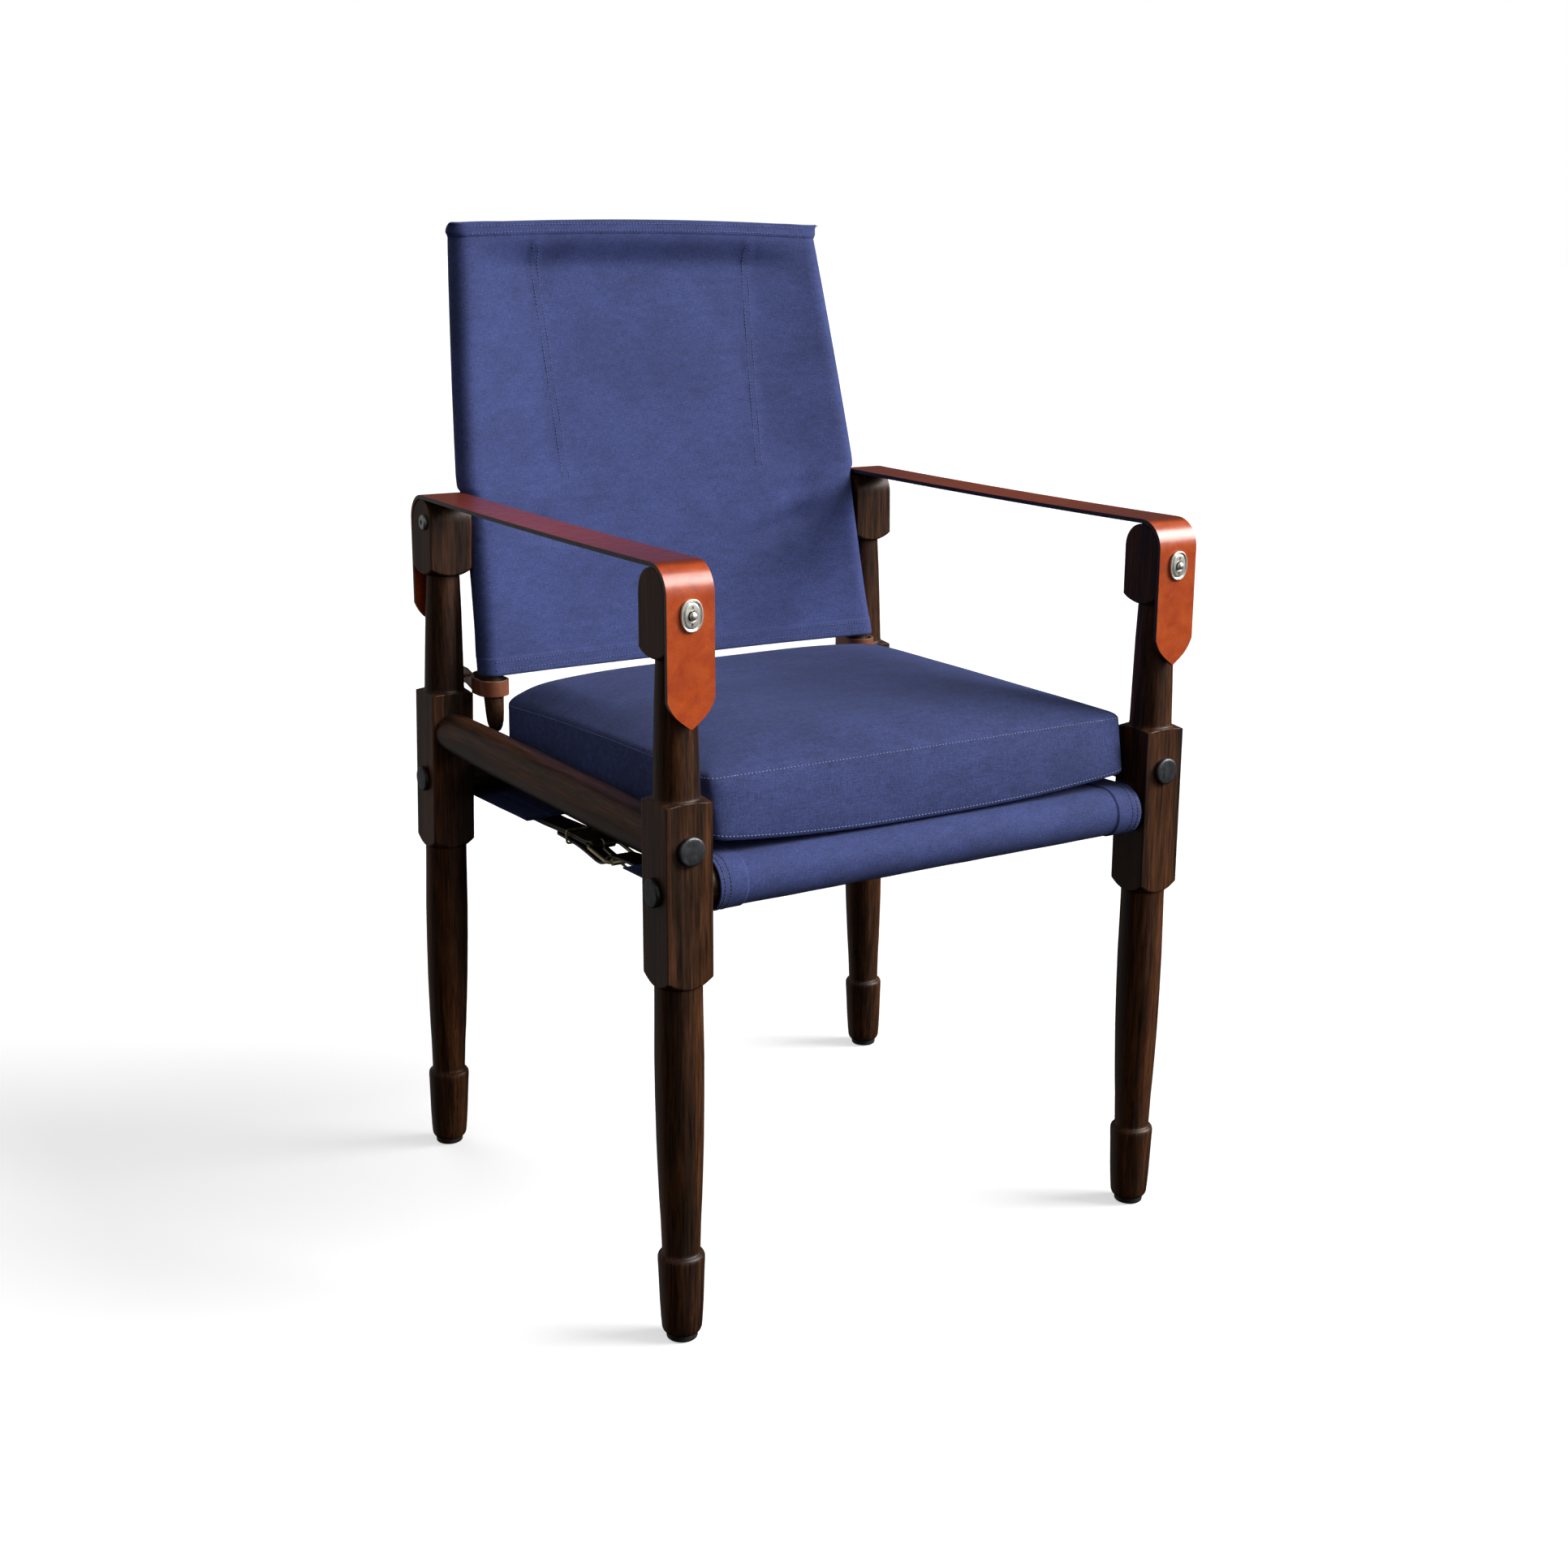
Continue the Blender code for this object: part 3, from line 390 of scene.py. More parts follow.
def leg_place(end, side):
    axis, tilt = ("X", -FRONT_LEAN) if end == "front" else ("Y", -side * REAR_SPLAY)
    return Matrix.Translation(leg_point(end, side, 0.0)) @ Matrix.Rotation(tilt, 4, axis)


def smooth_route(points, steps):
    """A Catmull-Rom curve through the points, with so many steps to each stretch."""
    points = [Vector(p) for p in points]
    padded = [points[0], *points, points[-1]]
    route = []
    for a, b, c, d in zip(padded, padded[1:], padded[2:], padded[3:]):
        for i in range(steps):
            t = i / steps
            bend, twist = a * 2 - b * 5 + c * 4 - d, b * 3 - a - c * 3 + d
            route.append((b * 2 + (c - a) * t + bend * t**2 + twist * t**3) / 2)
    return [*route, points[-1]]


def swept_on(work, verts, edges, points):
    """Extrudes a row or ring of vertices on to points, and gives the new vertices and edges."""
    swept = bmesh.ops.extrude_edge_only(work, edges=edges)["geom"]
    made = {g for g in swept if isinstance(g, bmesh.types.BMVert)}
    following = [next(e.other_vert(v) for e in v.link_edges if e.other_vert(v) in made) for v in verts]
    for vert, point in zip(following, points):
        vert.co = point
    return following, [g for g in swept if isinstance(g, bmesh.types.BMEdge) and set(g.verts) <= made]


def swept_grid(rows):
    """A sheet of quads through rows of points, by extruding the first row on to each next one."""
    work = bmesh.new()
    verts = [work.verts.new(p) for p in rows[0]]
    edges = [work.edges.new(pair) for pair in zip(verts, verts[1:])]
    for row in rows[1:]:
        verts, edges = swept_on(work, verts, edges, row)
    return work


def map_cloth(work, columns, lengths, widths):
    """The cloth map, in metres along and across the sheet."""
    layer = work.loops.layers.uv.new("cloth")
    work.verts.ensure_lookup_table()
    work.verts.index_update()
    for face in work.faces:
        for loop in face.loops:
            row, column = divmod(loop.vert.index, columns)
            loop[layer].uv = (widths[column], lengths[row])


def thicken(piece, thick, rim=None, rounding=0.0, segments=2):
    wall = piece.modifiers.new("thickness", "SOLIDIFY")
    wall.thickness, wall.offset, wall.use_even_offset = thick, 0.0, True
    if rim is not None:
        wall.material_offset_rim = rim
    if rounding:
        edge = piece.modifiers.new("eased_edges", "BEVEL")
        edge.width, edge.segments = rounding, segments
        edge.limit_method, edge.angle_limit = "ANGLE", math.radians(50)
        edge.harden_normals = True


def stitch_rows(paths, name, body, finish, pitch=0.0033, length=0.0024, thick=0.00042):
    """Runs of stitches: one small bead of thread after another along each path."""
    work = bmesh.new()
    for path in paths:
        points = [Vector(p) for p in path]
        spans = [(b - a).length for a, b in zip(points, points[1:])]
        total, at, index, run = sum(spans), pitch / 2, 0, 0.0
        while at < total - pitch / 3:
            while index < len(spans) - 1 and run + spans[index] < at:
                run += spans[index]
                index += 1
            along = (points[index + 1] - points[index]).normalized()
            centre = points[index] + along * (at - run)
            shape = aimed(centre, along) @ Matrix.Diagonal((thick, thick, length / 2, 1.0))
            bmesh.ops.create_icosphere(work, subdivisions=1, radius=1.0, matrix=shape)
            at += pitch
    return add_piece(work, name, body, finish, crease=180.0)


# Frame


def block_radius(angle):
    """Distance to the square stock's eased outline."""
    flat = abs(math.cos(angle)) ** 40 + abs(math.sin(angle)) ** 40
    return HALF_STOCK * flat ** (-1 / 40)


def leg_heights():
    """Heights of the leg's rings, close together where a block meets its turning."""
    dense = [
        np.arange(0.332, 0.3442, 0.0006), np.arange(0.4908, 0.4992, 0.0004), np.arange(0.6128, 0.6248, 0.0006),
    ]
    spread = [0.25, 0.285, 0.329, 0.36, 0.4, 0.44, 0.475, 0.505, 0.52, 0.55, 0.565, 0.6, 0.635, 0.65, ARCH_Z]
    table = [z for z, _ in LEG_TURNING if z < ARCH_Z]
    heights = np.unique(np.round(np.concatenate([table, spread, *dense]), 5))
    keep = [heights[0]]
    for z in heights[1:]:
        if z - keep[-1] > 0.00025:
            keep.append(z)
    return keep


def leg_ring(z, columns):
    """The leg's outline at a height: its turning, cut off by the square stock."""
    turning_z, turning_r = zip(*LEG_TURNING)
    turned = float(np.interp(z, turning_z, turning_r))
    ring = []
    for angle in columns:
        square = block_radius(angle)
        near = max(0.0005 - abs(turned - square), 0.0) / 0.0005
        radius = min(turned, square) - near * near * 0.000125
        ring.append((radius * math.cos(angle), radius * math.sin(angle), z))
    return ring


def make_leg(end, side):
    """Square stock turned between its blocks, with an arched head."""
    turns = [2 * math.pi * i / LEG_SIDES for i in range(LEG_SIDES)]
    columns = [a + 0.75 * math.sin(4 * a) / 4 for a in turns]  # closer together at the square's corners
    rings = [leg_ring(z, columns) for z in leg_heights()]
    for step in range(1, 11):
        t = math.radians(9 * step)
        rings.append([
            (x, y * math.cos(t), ARCH_Z + HALF_STOCK * math.sin(t) * (1 - 0.012 * (abs(x) / HALF_STOCK) ** 30))
            for x, y, _ in leg_ring(ARCH_Z, columns)
        ])
    work = bmesh.new()
    verts = bmesh.ops.create_circle(work, cap_ends=True, segments=LEG_SIDES, radius=0.01)["verts"]
    for vert, point in zip(verts, rings[0]):
        vert.co = point
    edges = list(work.edges)
    for ring in rings[1:]:
        verts, edges = swept_on(work, verts, edges, ring)
    bmesh.ops.remove_doubles(work, verts=work.verts, dist=0.00001)
    bmesh.ops.recalc_face_normals(work, faces=work.faces)
    bmesh.ops.transform(work, matrix=leg_place(end, side), verts=work.verts)
    name = f"{end}_{side_name(side)}"
    add_piece(work, "turned_leg_" + name, "frame", WALNUT_UP, ["leg_" + name], crease=40.0)


def make_rail(name, start, end, finish):
    half = (end - start).length / 2
    shoulder = half - SHOULDER
    half_profile = eased([
        (0.0125, shoulder + 0.018), (0.0125, shoulder), (0.0198, shoulder), (0.0205, shoulder * 0.8),
        (0.021, shoulder * 0.55),
    ], 0.0012)
    profile = [(0.0, shoulder + 0.018), *half_profile]
    profile += [(radius, -height) for radius, height in reversed(profile)]
    work = lathe(profile, aimed((start + end) / 2, end - start), 56)
    add_piece(work, "turned_" + name, "frame", finish, [name])


def make_bolt_head(node):
    """A flat disc with an eased rim, on the face of a block."""
    low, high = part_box(node)
    centre = (low + high) / 2
    along = 0 if high.x - low.x > high.y - low.y else 1
    sign = 1 if centre[along] > 0 else -1
    outward, top = Vector(), centre.copy()
    outward[along] = sign
    top[along] = (high if sign > 0 else low)[along]
    work = lathe([
        (0.0, -0.052), (0.003, -0.052), (0.003, -0.0046), (0.0117, -0.0046), (0.0124, -0.0043),
        (0.01275, -0.0036), (0.01275, -0.0018), (0.0125, -0.001), (0.0119, -0.0004), (0.0111, -0.0001),
        (0.01, 0.0), (0.0, 0.0001),
    ], aimed(top, outward), 48)
    add_piece(work, node + "_fine", "frame", GUNMETAL, [node], crease=50.0)


def make_glide(end, side):
    name = f"glide_{end}_{side_name(side)}"
    work = lathe([
        (0.0, 0.0195), (0.0028, 0.0195), (0.0028, 0.0064), (0.0136, 0.0064), (0.014, 0.006), (0.014, 0.0022),
        (0.0137, 0.0011), (0.013, 0.0004), (0.012, 0.0), (0.0, 0.0),
    ], Matrix.Translation(leg_point(end, side, 0.0)), 40)
    add_piece(work, name + "_fine", "frame", NYLON, [name])


def make_frame():
    for end in ("front", "rear"):
        for side in (-1, 1):
            make_leg(end, side)
            make_glide(end, side)
            for kind in ("side", "seat"):
                make_bolt_head(f"{kind}_bolt_{end}_{side_name(side)}")
    for side in (-1, 1):
        ends = leg_point("front", side, SIDE_RAIL_Z), leg_point("rear", side, SIDE_RAIL_Z)
        make_rail("side_rail_" + side_name(side), *ends, WALNUT_SIDE)
    for end, height in (("front", FRONT_RAIL_Z), ("rear", REAR_RAIL_Z)):
        make_rail("seat_rail_" + end, leg_point(end, -1, height), leg_point(end, 1, height), WALNUT_CROSS)


# Back


def post_y(z):
    return PIVOT_Y + RECLINE * (z - PIVOT_Z)


def make_posts():
    profile = [
        (0.0, 0.2865), (0.006, 0.2863), (0.0085, 0.2858), (0.011, 0.2835), (0.0124, 0.28), (0.013, 0.274),
        (0.013, 0.0), (0.013, -0.06), (0.0127, -0.1), (0.012, -0.135), (0.011, -0.16), (0.0102, -0.176),
        (0.0092, -0.196), (0.0084, -0.2045), (0.007, -0.21), (0.005, -0.2138), (0.003, -0.215), (0.0, -0.2155),
    ]
    for side in (-1, 1):
        name = "back_post_" + side_name(side)
        place = aimed((side * PIVOT_X, PIVOT_Y, PIVOT_Z), (-side * POST_TAPER, RECLINE, 1.0))
        add_piece(lathe(profile, place, 40), "turned_" + name, "back", WALNUT_UP, [name])


def make_pivot_heads():
    """Domed screw heads with a round socket, on the outside of the rear heads."""
    for side in (-1, 1):
        node = "pivot_bolt_" + side_name(side)
        low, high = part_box(node)
        outer = high.x if side > 0 else low.x
        place = aimed((outer, PIVOT_Y, PIVOT_Z), (side, 0.0, 0.0))
        work = lathe([
            (0.0, -0.0495), (0.003, -0.0495), (0.003, -0.0034), (0.0076, -0.0034), (0.0078, -0.003),
            (0.0076, -0.0016), (0.0066, -0.0005), (0.005, 0.0), (0.0026, 0.0), (0.0026, -0.0014),
            (0.0, -0.0014),
        ], place, 36)
        collar = aimed((side * (PIVOT_X + 0.016), PIVOT_Y, PIVOT_Z), (side, 0.0, 0.0))
        lathe([(0.0, 0.0), (0.0052, 0.0), (0.0052, 0.001), (0.0, 0.001)], collar, 24, work)
        add_piece(work, node + "_fine", "frame", ZINC, [node])


BACK_FOOT_Z, BACK_TOP_Z = 0.5154, 0.9555
BACK_EDGE = [
    (0.505, 0.2384), (0.53, 0.2375), (0.56, 0.2352), (0.6, 0.2335), (0.65, 0.2318), (0.69, 0.2318),
    (0.6945, 0.233), (0.699, 0.2362), (0.71, 0.2362), (0.75, 0.233), (0.8, 0.2288), (0.85, 0.2242),
    (0.9, 0.2194), (0.935, 0.2156), (0.9415, 0.2148), (0.944, 0.216), (0.9465, 0.2172), (0.956, 0.2164),
]


def back_edge(z):
    heights, widths = zip(*BACK_EDGE)
    return float(np.interp(z, heights, widths))


def swell(value, start, end):
    """0 before start and 1 after end, easing between them."""
    t = min(max((value - start) / (end - start), 0.0), 1.0)
    return t * t * (3 - 2 * t)


def crown(x, z):
    """How far a point near the top edge is lifted by the edge's crown."""
    return 0.0046 * (1 - min(abs(x) / 0.205, 1.0) ** 2) * swell(z, 0.86, BACK_TOP_Z)


def dart_x(z):
    return 0.117 + (z - 0.705) * (0.0095 / 0.245)


# Creases in the canvas by the arms: side, depth, height at the post, slope, width, and where they fade in.
CREASES = (
    (1, 0.0075, 0.662, 0.35, 0.0115, 0.05, 0.17),
    (1, 0.006, 0.7, 0.55, 0.01, 0.1, 0.19),
    (-1, 0.0052, 0.665, 0.3, 0.012, 0.08, 0.18),
)


def crease_depth(x, z):
    depth = 0.0
    for side, deep, height, slope, width, start, end in CREASES:
        past = (z - height - slope * (side * x - 0.2)) / width
        depth += deep * math.exp(-past**2) * swell(side * x, start, end)
    return depth


def panel_y(x, z):
    """Front face of the canvas between the posts: it bellies back, and is stiff at its hems and darts."""
    edge = back_edge(z) - SLEEVE
    across = min(abs(x) / edge, 1.0)
    depth = 0.016 - 0.015 * swell(z, 0.908, 0.9425)
    depth *= 0.35 + 0.65 * swell(z, BACK_FOOT_Z - 0.01, 0.6)
    slope = min((1 - across) / (1 - dart_x(z) / edge), 1.0)
    darted = swell(z, 0.68, 0.725)
    belly = depth * ((1 - across**2.2) * (1 - darted) + (1 - (1 - slope) ** 1.25) * darted)
    seam = swell(z, 0.7, 0.712) * (1 - swell(z, 0.936, 0.944))
    pucker = 0.0014 + 0.0005 * math.sin(z * 480.0)
    dart = pucker * math.exp(-((abs(x) - dart_x(z)) / 0.0036) ** 2) * seam
    ripple = 0.0018 * noise.noise(Vector((x * 9.0, z * 7.0, 0.4)))
    hem = 0.0009 * (1 - swell(z, 0.5315, 0.5327)) + 0.0009 * swell(z, 0.942, 0.943)
    loose = (ripple + crease_depth(x, z)) * (1 - swell(across, 0.68, 0.93))
    return post_y(z) - SLEEVE + belly + loose - dart - hem


def back_section(z):
    """From the left flap round the left post, across the front and round the right post."""
    edge = back_edge(z)
    centre = edge - SLEEVE
    closing = math.sqrt(max(1 - (max(z - 0.944, 0.0) / 0.0118) ** 2, 0.0)) * 0.93 + 0.07
    half = []
    for i in range(33):
        x = centre * i / 32
        half.append((x, panel_y(x, z)))
    front = half[-1][1]
    for i in range(1, 13):
        turn = math.radians(-90 + 15 * i)
        x = centre + SLEEVE * math.cos(turn)
        half.append((x, front + (SLEEVE + SLEEVE * math.sin(turn)) * closing))
    for share, inward in ((0.94, 0.008), (0.72, 0.016), (0.4, 0.024), (0.16, 0.032), (0.1, 0.04)):
        x = centre - inward
        behind = panel_y(x, z) + 0.0021
        half.append((x, behind + (2 * SLEEVE - 0.0021) * share * closing if share > 0.1 else behind))
    left = [(-x, panel_y(-x, z) + (y - panel_y(x, z)) if i < 33 else y) for i, (x, y) in enumerate(half)]
    section = left[::-1] + half[1:]
    return [(x, y, z + crown(x, z)) for x, y in section]


def make_back_canvas():
    heights = np.unique(np.round(np.concatenate([
        np.linspace(BACK_FOOT_Z, 0.53, 7), [0.5312, 0.5318, 0.5326, 0.534], np.linspace(0.538, 0.68, 34),
        np.linspace(0.684, 0.715, 14), np.linspace(0.72, 0.936, 50), [0.939, 0.9412, 0.9421, 0.9429],
        np.linspace(0.944, BACK_TOP_Z, 11),
    ]), 5))
    rows = [back_section(float(z)) for z in heights]
    work = swept_grid(rows)
    columns = len(rows[0])
    middle = rows[len(rows) // 2]
    widths = [0.0]
    for a, b in zip(middle, middle[1:]):
        widths.append(widths[-1] + math.hypot(b[0] - a[0], b[1] - a[1]))
    slant = math.sqrt(1 + RECLINE**2)
    map_cloth(work, columns, [z * slant for z in heights], widths)
    bmesh.ops.recalc_face_normals(work, faces=work.faces)
    back = add_piece(work, "back_duck", "back", BACK_DUCK, ["back_canvas"], crease=60.0)
    thicken(back, 0.0014)
    stitches = []
    for z in (0.9515, 0.9448):
        stitches.append(back_line(lambda s, z=z: ((s - 0.5) * 0.398, z), 60))
    for z in (0.521, 0.5292):
        stitches.append(back_line(lambda s, z=z: ((s - 0.5) * 0.452, z), 60))
    for side in (-1, 1):
        for offset in (-0.0034, 0.0034):
            def beside_dart(share, side=side, offset=offset):
                z = 0.703 + 0.232 * share
                return side * (dart_x(z) + offset), z
            stitches.append(back_line(beside_dart, 40))
    seams = []
    for side in (-1, 1):
        seams.append([
            (side * (back_edge(z) - SLEEVE - 0.036), panel_y(back_edge(z) - SLEEVE - 0.036, z) + 0.003, z)
            for z in np.linspace(BACK_FOOT_Z + 0.004, 0.938, 40)
        ])
    threads = stitch_rows(stitches + seams, "back_stitching", "back", NAVY_THREAD, 0.0036, 0.0027, 0.0006)


def back_line(route, count):
    """Points just in front of the canvas along route, which gives (x, z) from a share of its length."""
    points = []
    for i in range(count + 1):
        x, z = route(i / count)
        points.append((x, panel_y(x, z) - 0.0008, z + crown(x, z)))
    return points


def make_stay_loops():
    """Leather bands round the posts' lower ends, screwed to the rear legs."""
    drop = 0.5038 - PIVOT_Z
    x, y = PIVOT_X - POST_TAPER * drop, PIVOT_Y + RECLINE * drop
    rear, reach = y + 0.019, 0.0146
    for side in (-1, 1):
        route = [(x + reach * math.cos(math.radians(a)), rear + reach * math.sin(math.radians(a)))
                 for a in range(62, 181, 9)]
        route += [(x - reach, y + 0.009)]
        route += [(x + reach * math.cos(math.radians(a)), y + reach * math.sin(math.radians(a)))
                  for a in range(180, 361, 9)]
        route += [(x + reach, y + 0.009), (x + reach * 0.99, rear - 0.002), (0.2338, rear + 0.008)]
        route += [(0.2335, FRONT_Y + 0.49), (0.2333, FRONT_Y + 0.5035)]
        rows = []
        for px, py in route:
            lift = 0.0045 * swell(py, rear + 0.004, rear + 0.024)
            rows.append([(side * px, py, 0.5024 + lift + 0.008 * k / 4) for k in range(-4, 5)])
        work = swept_grid(rows)
        bmesh.ops.recalc_face_normals(work, faces=work.faces)
        name = "stay_loop_" + side_name(side)
        loop = add_piece(work, name + "_band", "frame", [LOOP_TAN, LOOP_EDGE], [name])
        thicken(loop, 0.0028, 1, 0.0004)
        screw = lathe([
            (0.0, 0.003), (0.0026, 0.0026), (0.0042, 0.0012), (0.0046, 0.0), (0.0016, -0.0005),
            (0.0016, -0.012), (0.0, -0.012),
        ], aimed((side * 0.2318, FRONT_Y + 0.4955, 0.506), (-side, 0.0, 0.0)), 28)
        add_piece(screw, name + "_screw", "frame", BRASS)


# Seat


def lower_run_z(y):
    front, rear = FRONT_RAIL_Z - 0.0225, REAR_RAIL_Z - 0.0225
    front_y = leg_point("front", 1, FRONT_RAIL_Z).y
    return front + (rear - front) * (y - front_y) / (REAR_Y - front_y)


def upper_run_z(y):
    """Middle of the sling's upper canvas."""
    front_y = leg_point("front", 1, FRONT_RAIL_Z).y
    t = min(max((y - front_y) / (REAR_Y - front_y), 0.0), 1.0)
    return FRONT_RAIL_Z + (REAR_RAIL_Z - FRONT_RAIL_Z) * t + SLING_RADIUS - 0.012 * t * (1 - t)


def sling_path():
    front = leg_point("front", 1, FRONT_RAIL_Z)
    path = []
    for i in range(13):
        y = FRONT_FLAP_Y + (front.y - FRONT_FLAP_Y) * i / 13
        path.append(((y, lower_run_z(y) + 0.0003), (0.0, -1.0)))
    for i in range(25):
        turn = math.radians(270 - 7.5 * i)
        out = (math.cos(turn), math.sin(turn))
        path.append(((front.y + SLING_RADIUS * out[0], FRONT_RAIL_Z + SLING_RADIUS * out[1]), out))
    for i in range(1, 30):
        y = front.y + (REAR_Y - front.y) * i / 30
        path.append(((y, upper_run_z(y)), (0.0, 1.0)))
    for i in range(25):
        turn = math.radians(90 - 7.5 * i)
        out = (math.cos(turn), math.sin(turn))
        path.append(((REAR_Y + SLING_RADIUS * out[0], REAR_RAIL_Z + SLING_RADIUS * out[1]), out))
    for i in range(1, 12):
        y = REAR_Y + (REAR_FLAP_Y - REAR_Y) * i / 11
        path.append(((y, lower_run_z(y) + 0.0003), (0.0, -1.0)))
    return path


HEM_WIDTH = 0.0272


def sling_point(x, spot, outer=0.0):
    (y, z), (out_y, out_z) = spot
    hem = swell(abs(x), SLING_HALF_WIDTH - HEM_WIDTH - 0.0006, SLING_HALF_WIDTH - HEM_WIDTH + 0.0006)
    lump = 0.0004 * noise.noise(Vector((x * 30.0, y * 25.0, z * 25.0)))
    out = outer + 0.0011 * hem + lump
    return (x, y + out_y * out, z + out_z * out)


def make_sling():
    path = sling_path()
    edge = SLING_HALF_WIDTH
    inner = edge - HEM_WIDTH
    half = [*np.linspace(0.0, inner - 0.0015, 24), inner - 0.0006, inner, inner + 0.0006, inner + 0.0015,
            *np.linspace(inner + 0.004, edge - 0.001, 7), edge]
    columns = [-x for x in reversed(half[1:])] + half
    rows = [[sling_point(x, spot) for x in columns] for spot in path]
    work = swept_grid(rows)
    lengths = [0.0]
    for a, b in zip(path, path[1:]):
        lengths.append(lengths[-1] + math.dist(a[0], b[0]))
    map_cloth(work, len(columns), lengths, [x + edge for x in columns])
    bmesh.ops.recalc_face_normals(work, faces=work.faces)
    sling = add_piece(work, "sling_duck", "frame", SLING_DUCK, ["seat_sling"], crease=60.0)
    thicken(sling, 0.0013)
    runs = []
    for side in (-1, 1):
        for inset in (0.004, 0.01):
            runs.append([sling_point(side * (edge - inset), spot, 0.00075) for spot in path])
    for spot in (path[1], path[-2]):
        runs.append([sling_point(x, spot, 0.0008) for x in np.linspace(-edge + 0.012, edge - 0.012, 60)])
    threads = stitch_rows(runs, "sling_stitching", "frame", DARK_THREAD, 0.0034, 0.0027, 0.00055)


CUSHION_FRONT, CUSHION_REAR = FRONT_Y - 0.002, FRONT_Y + 0.418
CUSHION_HALF = 0.23
CUSHION_FOOT, CUSHION_EDGE = 0.4475, 0.5095
FRONT_CORNER, REAR_CORNER = 0.013, 0.023


def edge_inset(x, y):
    """How far a point lies inside the cushion's outline."""
    middle, reach = (CUSHION_FRONT + CUSHION_REAR) / 2, (CUSHION_REAR - CUSHION_FRONT) / 2
    corner = REAR_CORNER if y > middle else FRONT_CORNER
    past_x, past_y = abs(x) - CUSHION_HALF + corner, abs(y - middle) - reach + corner
    if past_x > 0 and past_y > 0:
        return corner - math.hypot(past_x, past_y)
    return corner - max(past_x, past_y)


def cushion_start():
    """The cushion before it is filled: a box with rounded upright corners."""
    work = bmesh.new()
    bmesh.ops.create_cube(work, size=1.0)
    upright = [e for e in work.edges if abs(e.verts[0].co.z - e.verts[1].co.z) > 0.5]
    size = Vector((2 * CUSHION_HALF, CUSHION_REAR - CUSHION_FRONT, CUSHION_EDGE - CUSHION_FOOT))
    middle = Vector((0.0, (CUSHION_FRONT + CUSHION_REAR) / 2, (CUSHION_FOOT + CUSHION_EDGE) / 2))
    bmesh.ops.scale(work, vec=size, verts=work.verts)
    bmesh.ops.translate(work, vec=middle, verts=work.verts)
    for corner, edges in (
        (FRONT_CORNER, [e for e in upright if e.verts[0].co.y < 0]),
        (REAR_CORNER, [e for e in upright if e.verts[0].co.y > 0]),
    ):
        bmesh.ops.bevel(
            work, geom=edges, offset=corner, offset_type="OFFSET", segments=6, profile=0.5, affect="EDGES",
            material=-1,
        )
    return work


def cushion_foot(x, y):
    """Underside of the cushion: it sags with the sling and curls up towards its corners."""
    rise = 0.0115 * (abs(x) / 0.227) ** 2.6
    front = 0.4412 + rise
    back = upper_run_z(y) + 0.0014 + rise * 0.8
    t = swell(y, CUSHION_FRONT + 0.03, CUSHION_FRONT + 0.16)
    return front * (1 - t) + back * t


def top_droop(x, y):
    """How far the top seam has sunk; it sinks most at the rear corners."""
    rear = min(max((y - CUSHION_FRONT) / (CUSHION_REAR - CUSHION_FRONT), 0.0), 1.0)
    return 0.014 * rear**2.2 * min(abs(x) / CUSHION_HALF, 1.0) ** 2


def fill_cushion(piece):
    """Blows the cover up as cloth with its seams held, so that its faces swell between them."""
    mesh = piece.data
    start = np.array([v.co[:] for v in mesh.vertices])
    held = piece.vertex_groups.new(name="seams")
    for i, (x, y, z) in enumerate(start):
        if edge_inset(x, y) < 0.006 and (z > CUSHION_EDGE - 0.004 or z < CUSHION_FOOT + 0.004):
            held.add([i], 1.0, "REPLACE")
    cloth = piece.modifiers.new("filling", "CLOTH")
    cloth.settings.use_pressure = True
    cloth.settings.uniform_pressure_force = 4.0
    cloth.settings.effector_weights.gravity = 0.0
    cloth.settings.vertex_group_mass = "seams"
    cloth.settings.quality = 4
    cloth.settings.mass = 0.3
    scene = bpy.context.scene
    scene.frame_start, scene.frame_end = 1, 20
    cloth.point_cache.frame_start, cloth.point_cache.frame_end = 1, 20
    for number in range(1, 21):
        scene.frame_set(number)
    graph = bpy.context.evaluated_depsgraph_get()
    filled = piece.evaluated_get(graph).data
    end = np.array([v.co[:] for v in filled.vertices])
    move = end - start
    far = np.linalg.norm(move, axis=1)
    move *= np.minimum(1.0, 0.016 / np.maximum(far, 1e-9))[:, None]
    piece.modifiers.clear()
    piece.vertex_groups.clear()
    mesh.vertices.foreach_set("co", (start + move).astype(np.float32).ravel())
    scene.frame_set(1)


def settle_cushion(mesh):
    """Sits the cushion on the sling, crowns its top, sinks its rear corners and leans its front back."""
    for vert in mesh.vertices:
        x, y, z = vert.co
        share = min(max((z - CUSHION_FOOT) / (CUSHION_EDGE - CUSHION_FOOT), 0.0), 1.25)
        foot = cushion_foot(x, y)
        if share < 0.5:
            stretch = 1 + (CUSHION_FOOT - foot) / (CUSHION_EDGE - CUSHION_FOOT) * (1 - share)
            z = foot + (z - CUSHION_FOOT) * stretch
            z = max(z, foot)
        rear = min(max((y - CUSHION_FRONT) / (CUSHION_REAR - CUSHION_FRONT), 0.0), 1.0)
        top = swell(share, 0.35, 1.0)
        inset = edge_inset(x, y)
        crowned = (1 - min(abs(x) / CUSHION_HALF, 1.0) ** 4) * (1 - abs(2 * rear - 1) ** 6)
        z += top * (0.0145 * crowned - top_droop(x, y) * (1 - swell(inset, -0.004, 0.04)))
        front = 1 - swell(y, CUSHION_FRONT, CUSHION_FRONT + 0.12)
        y += 0.0125 * share * front - 0.001 * front
        x *= 1.0 + 0.012 * (share - 0.6) * front
        vert.co = (x, y, z)


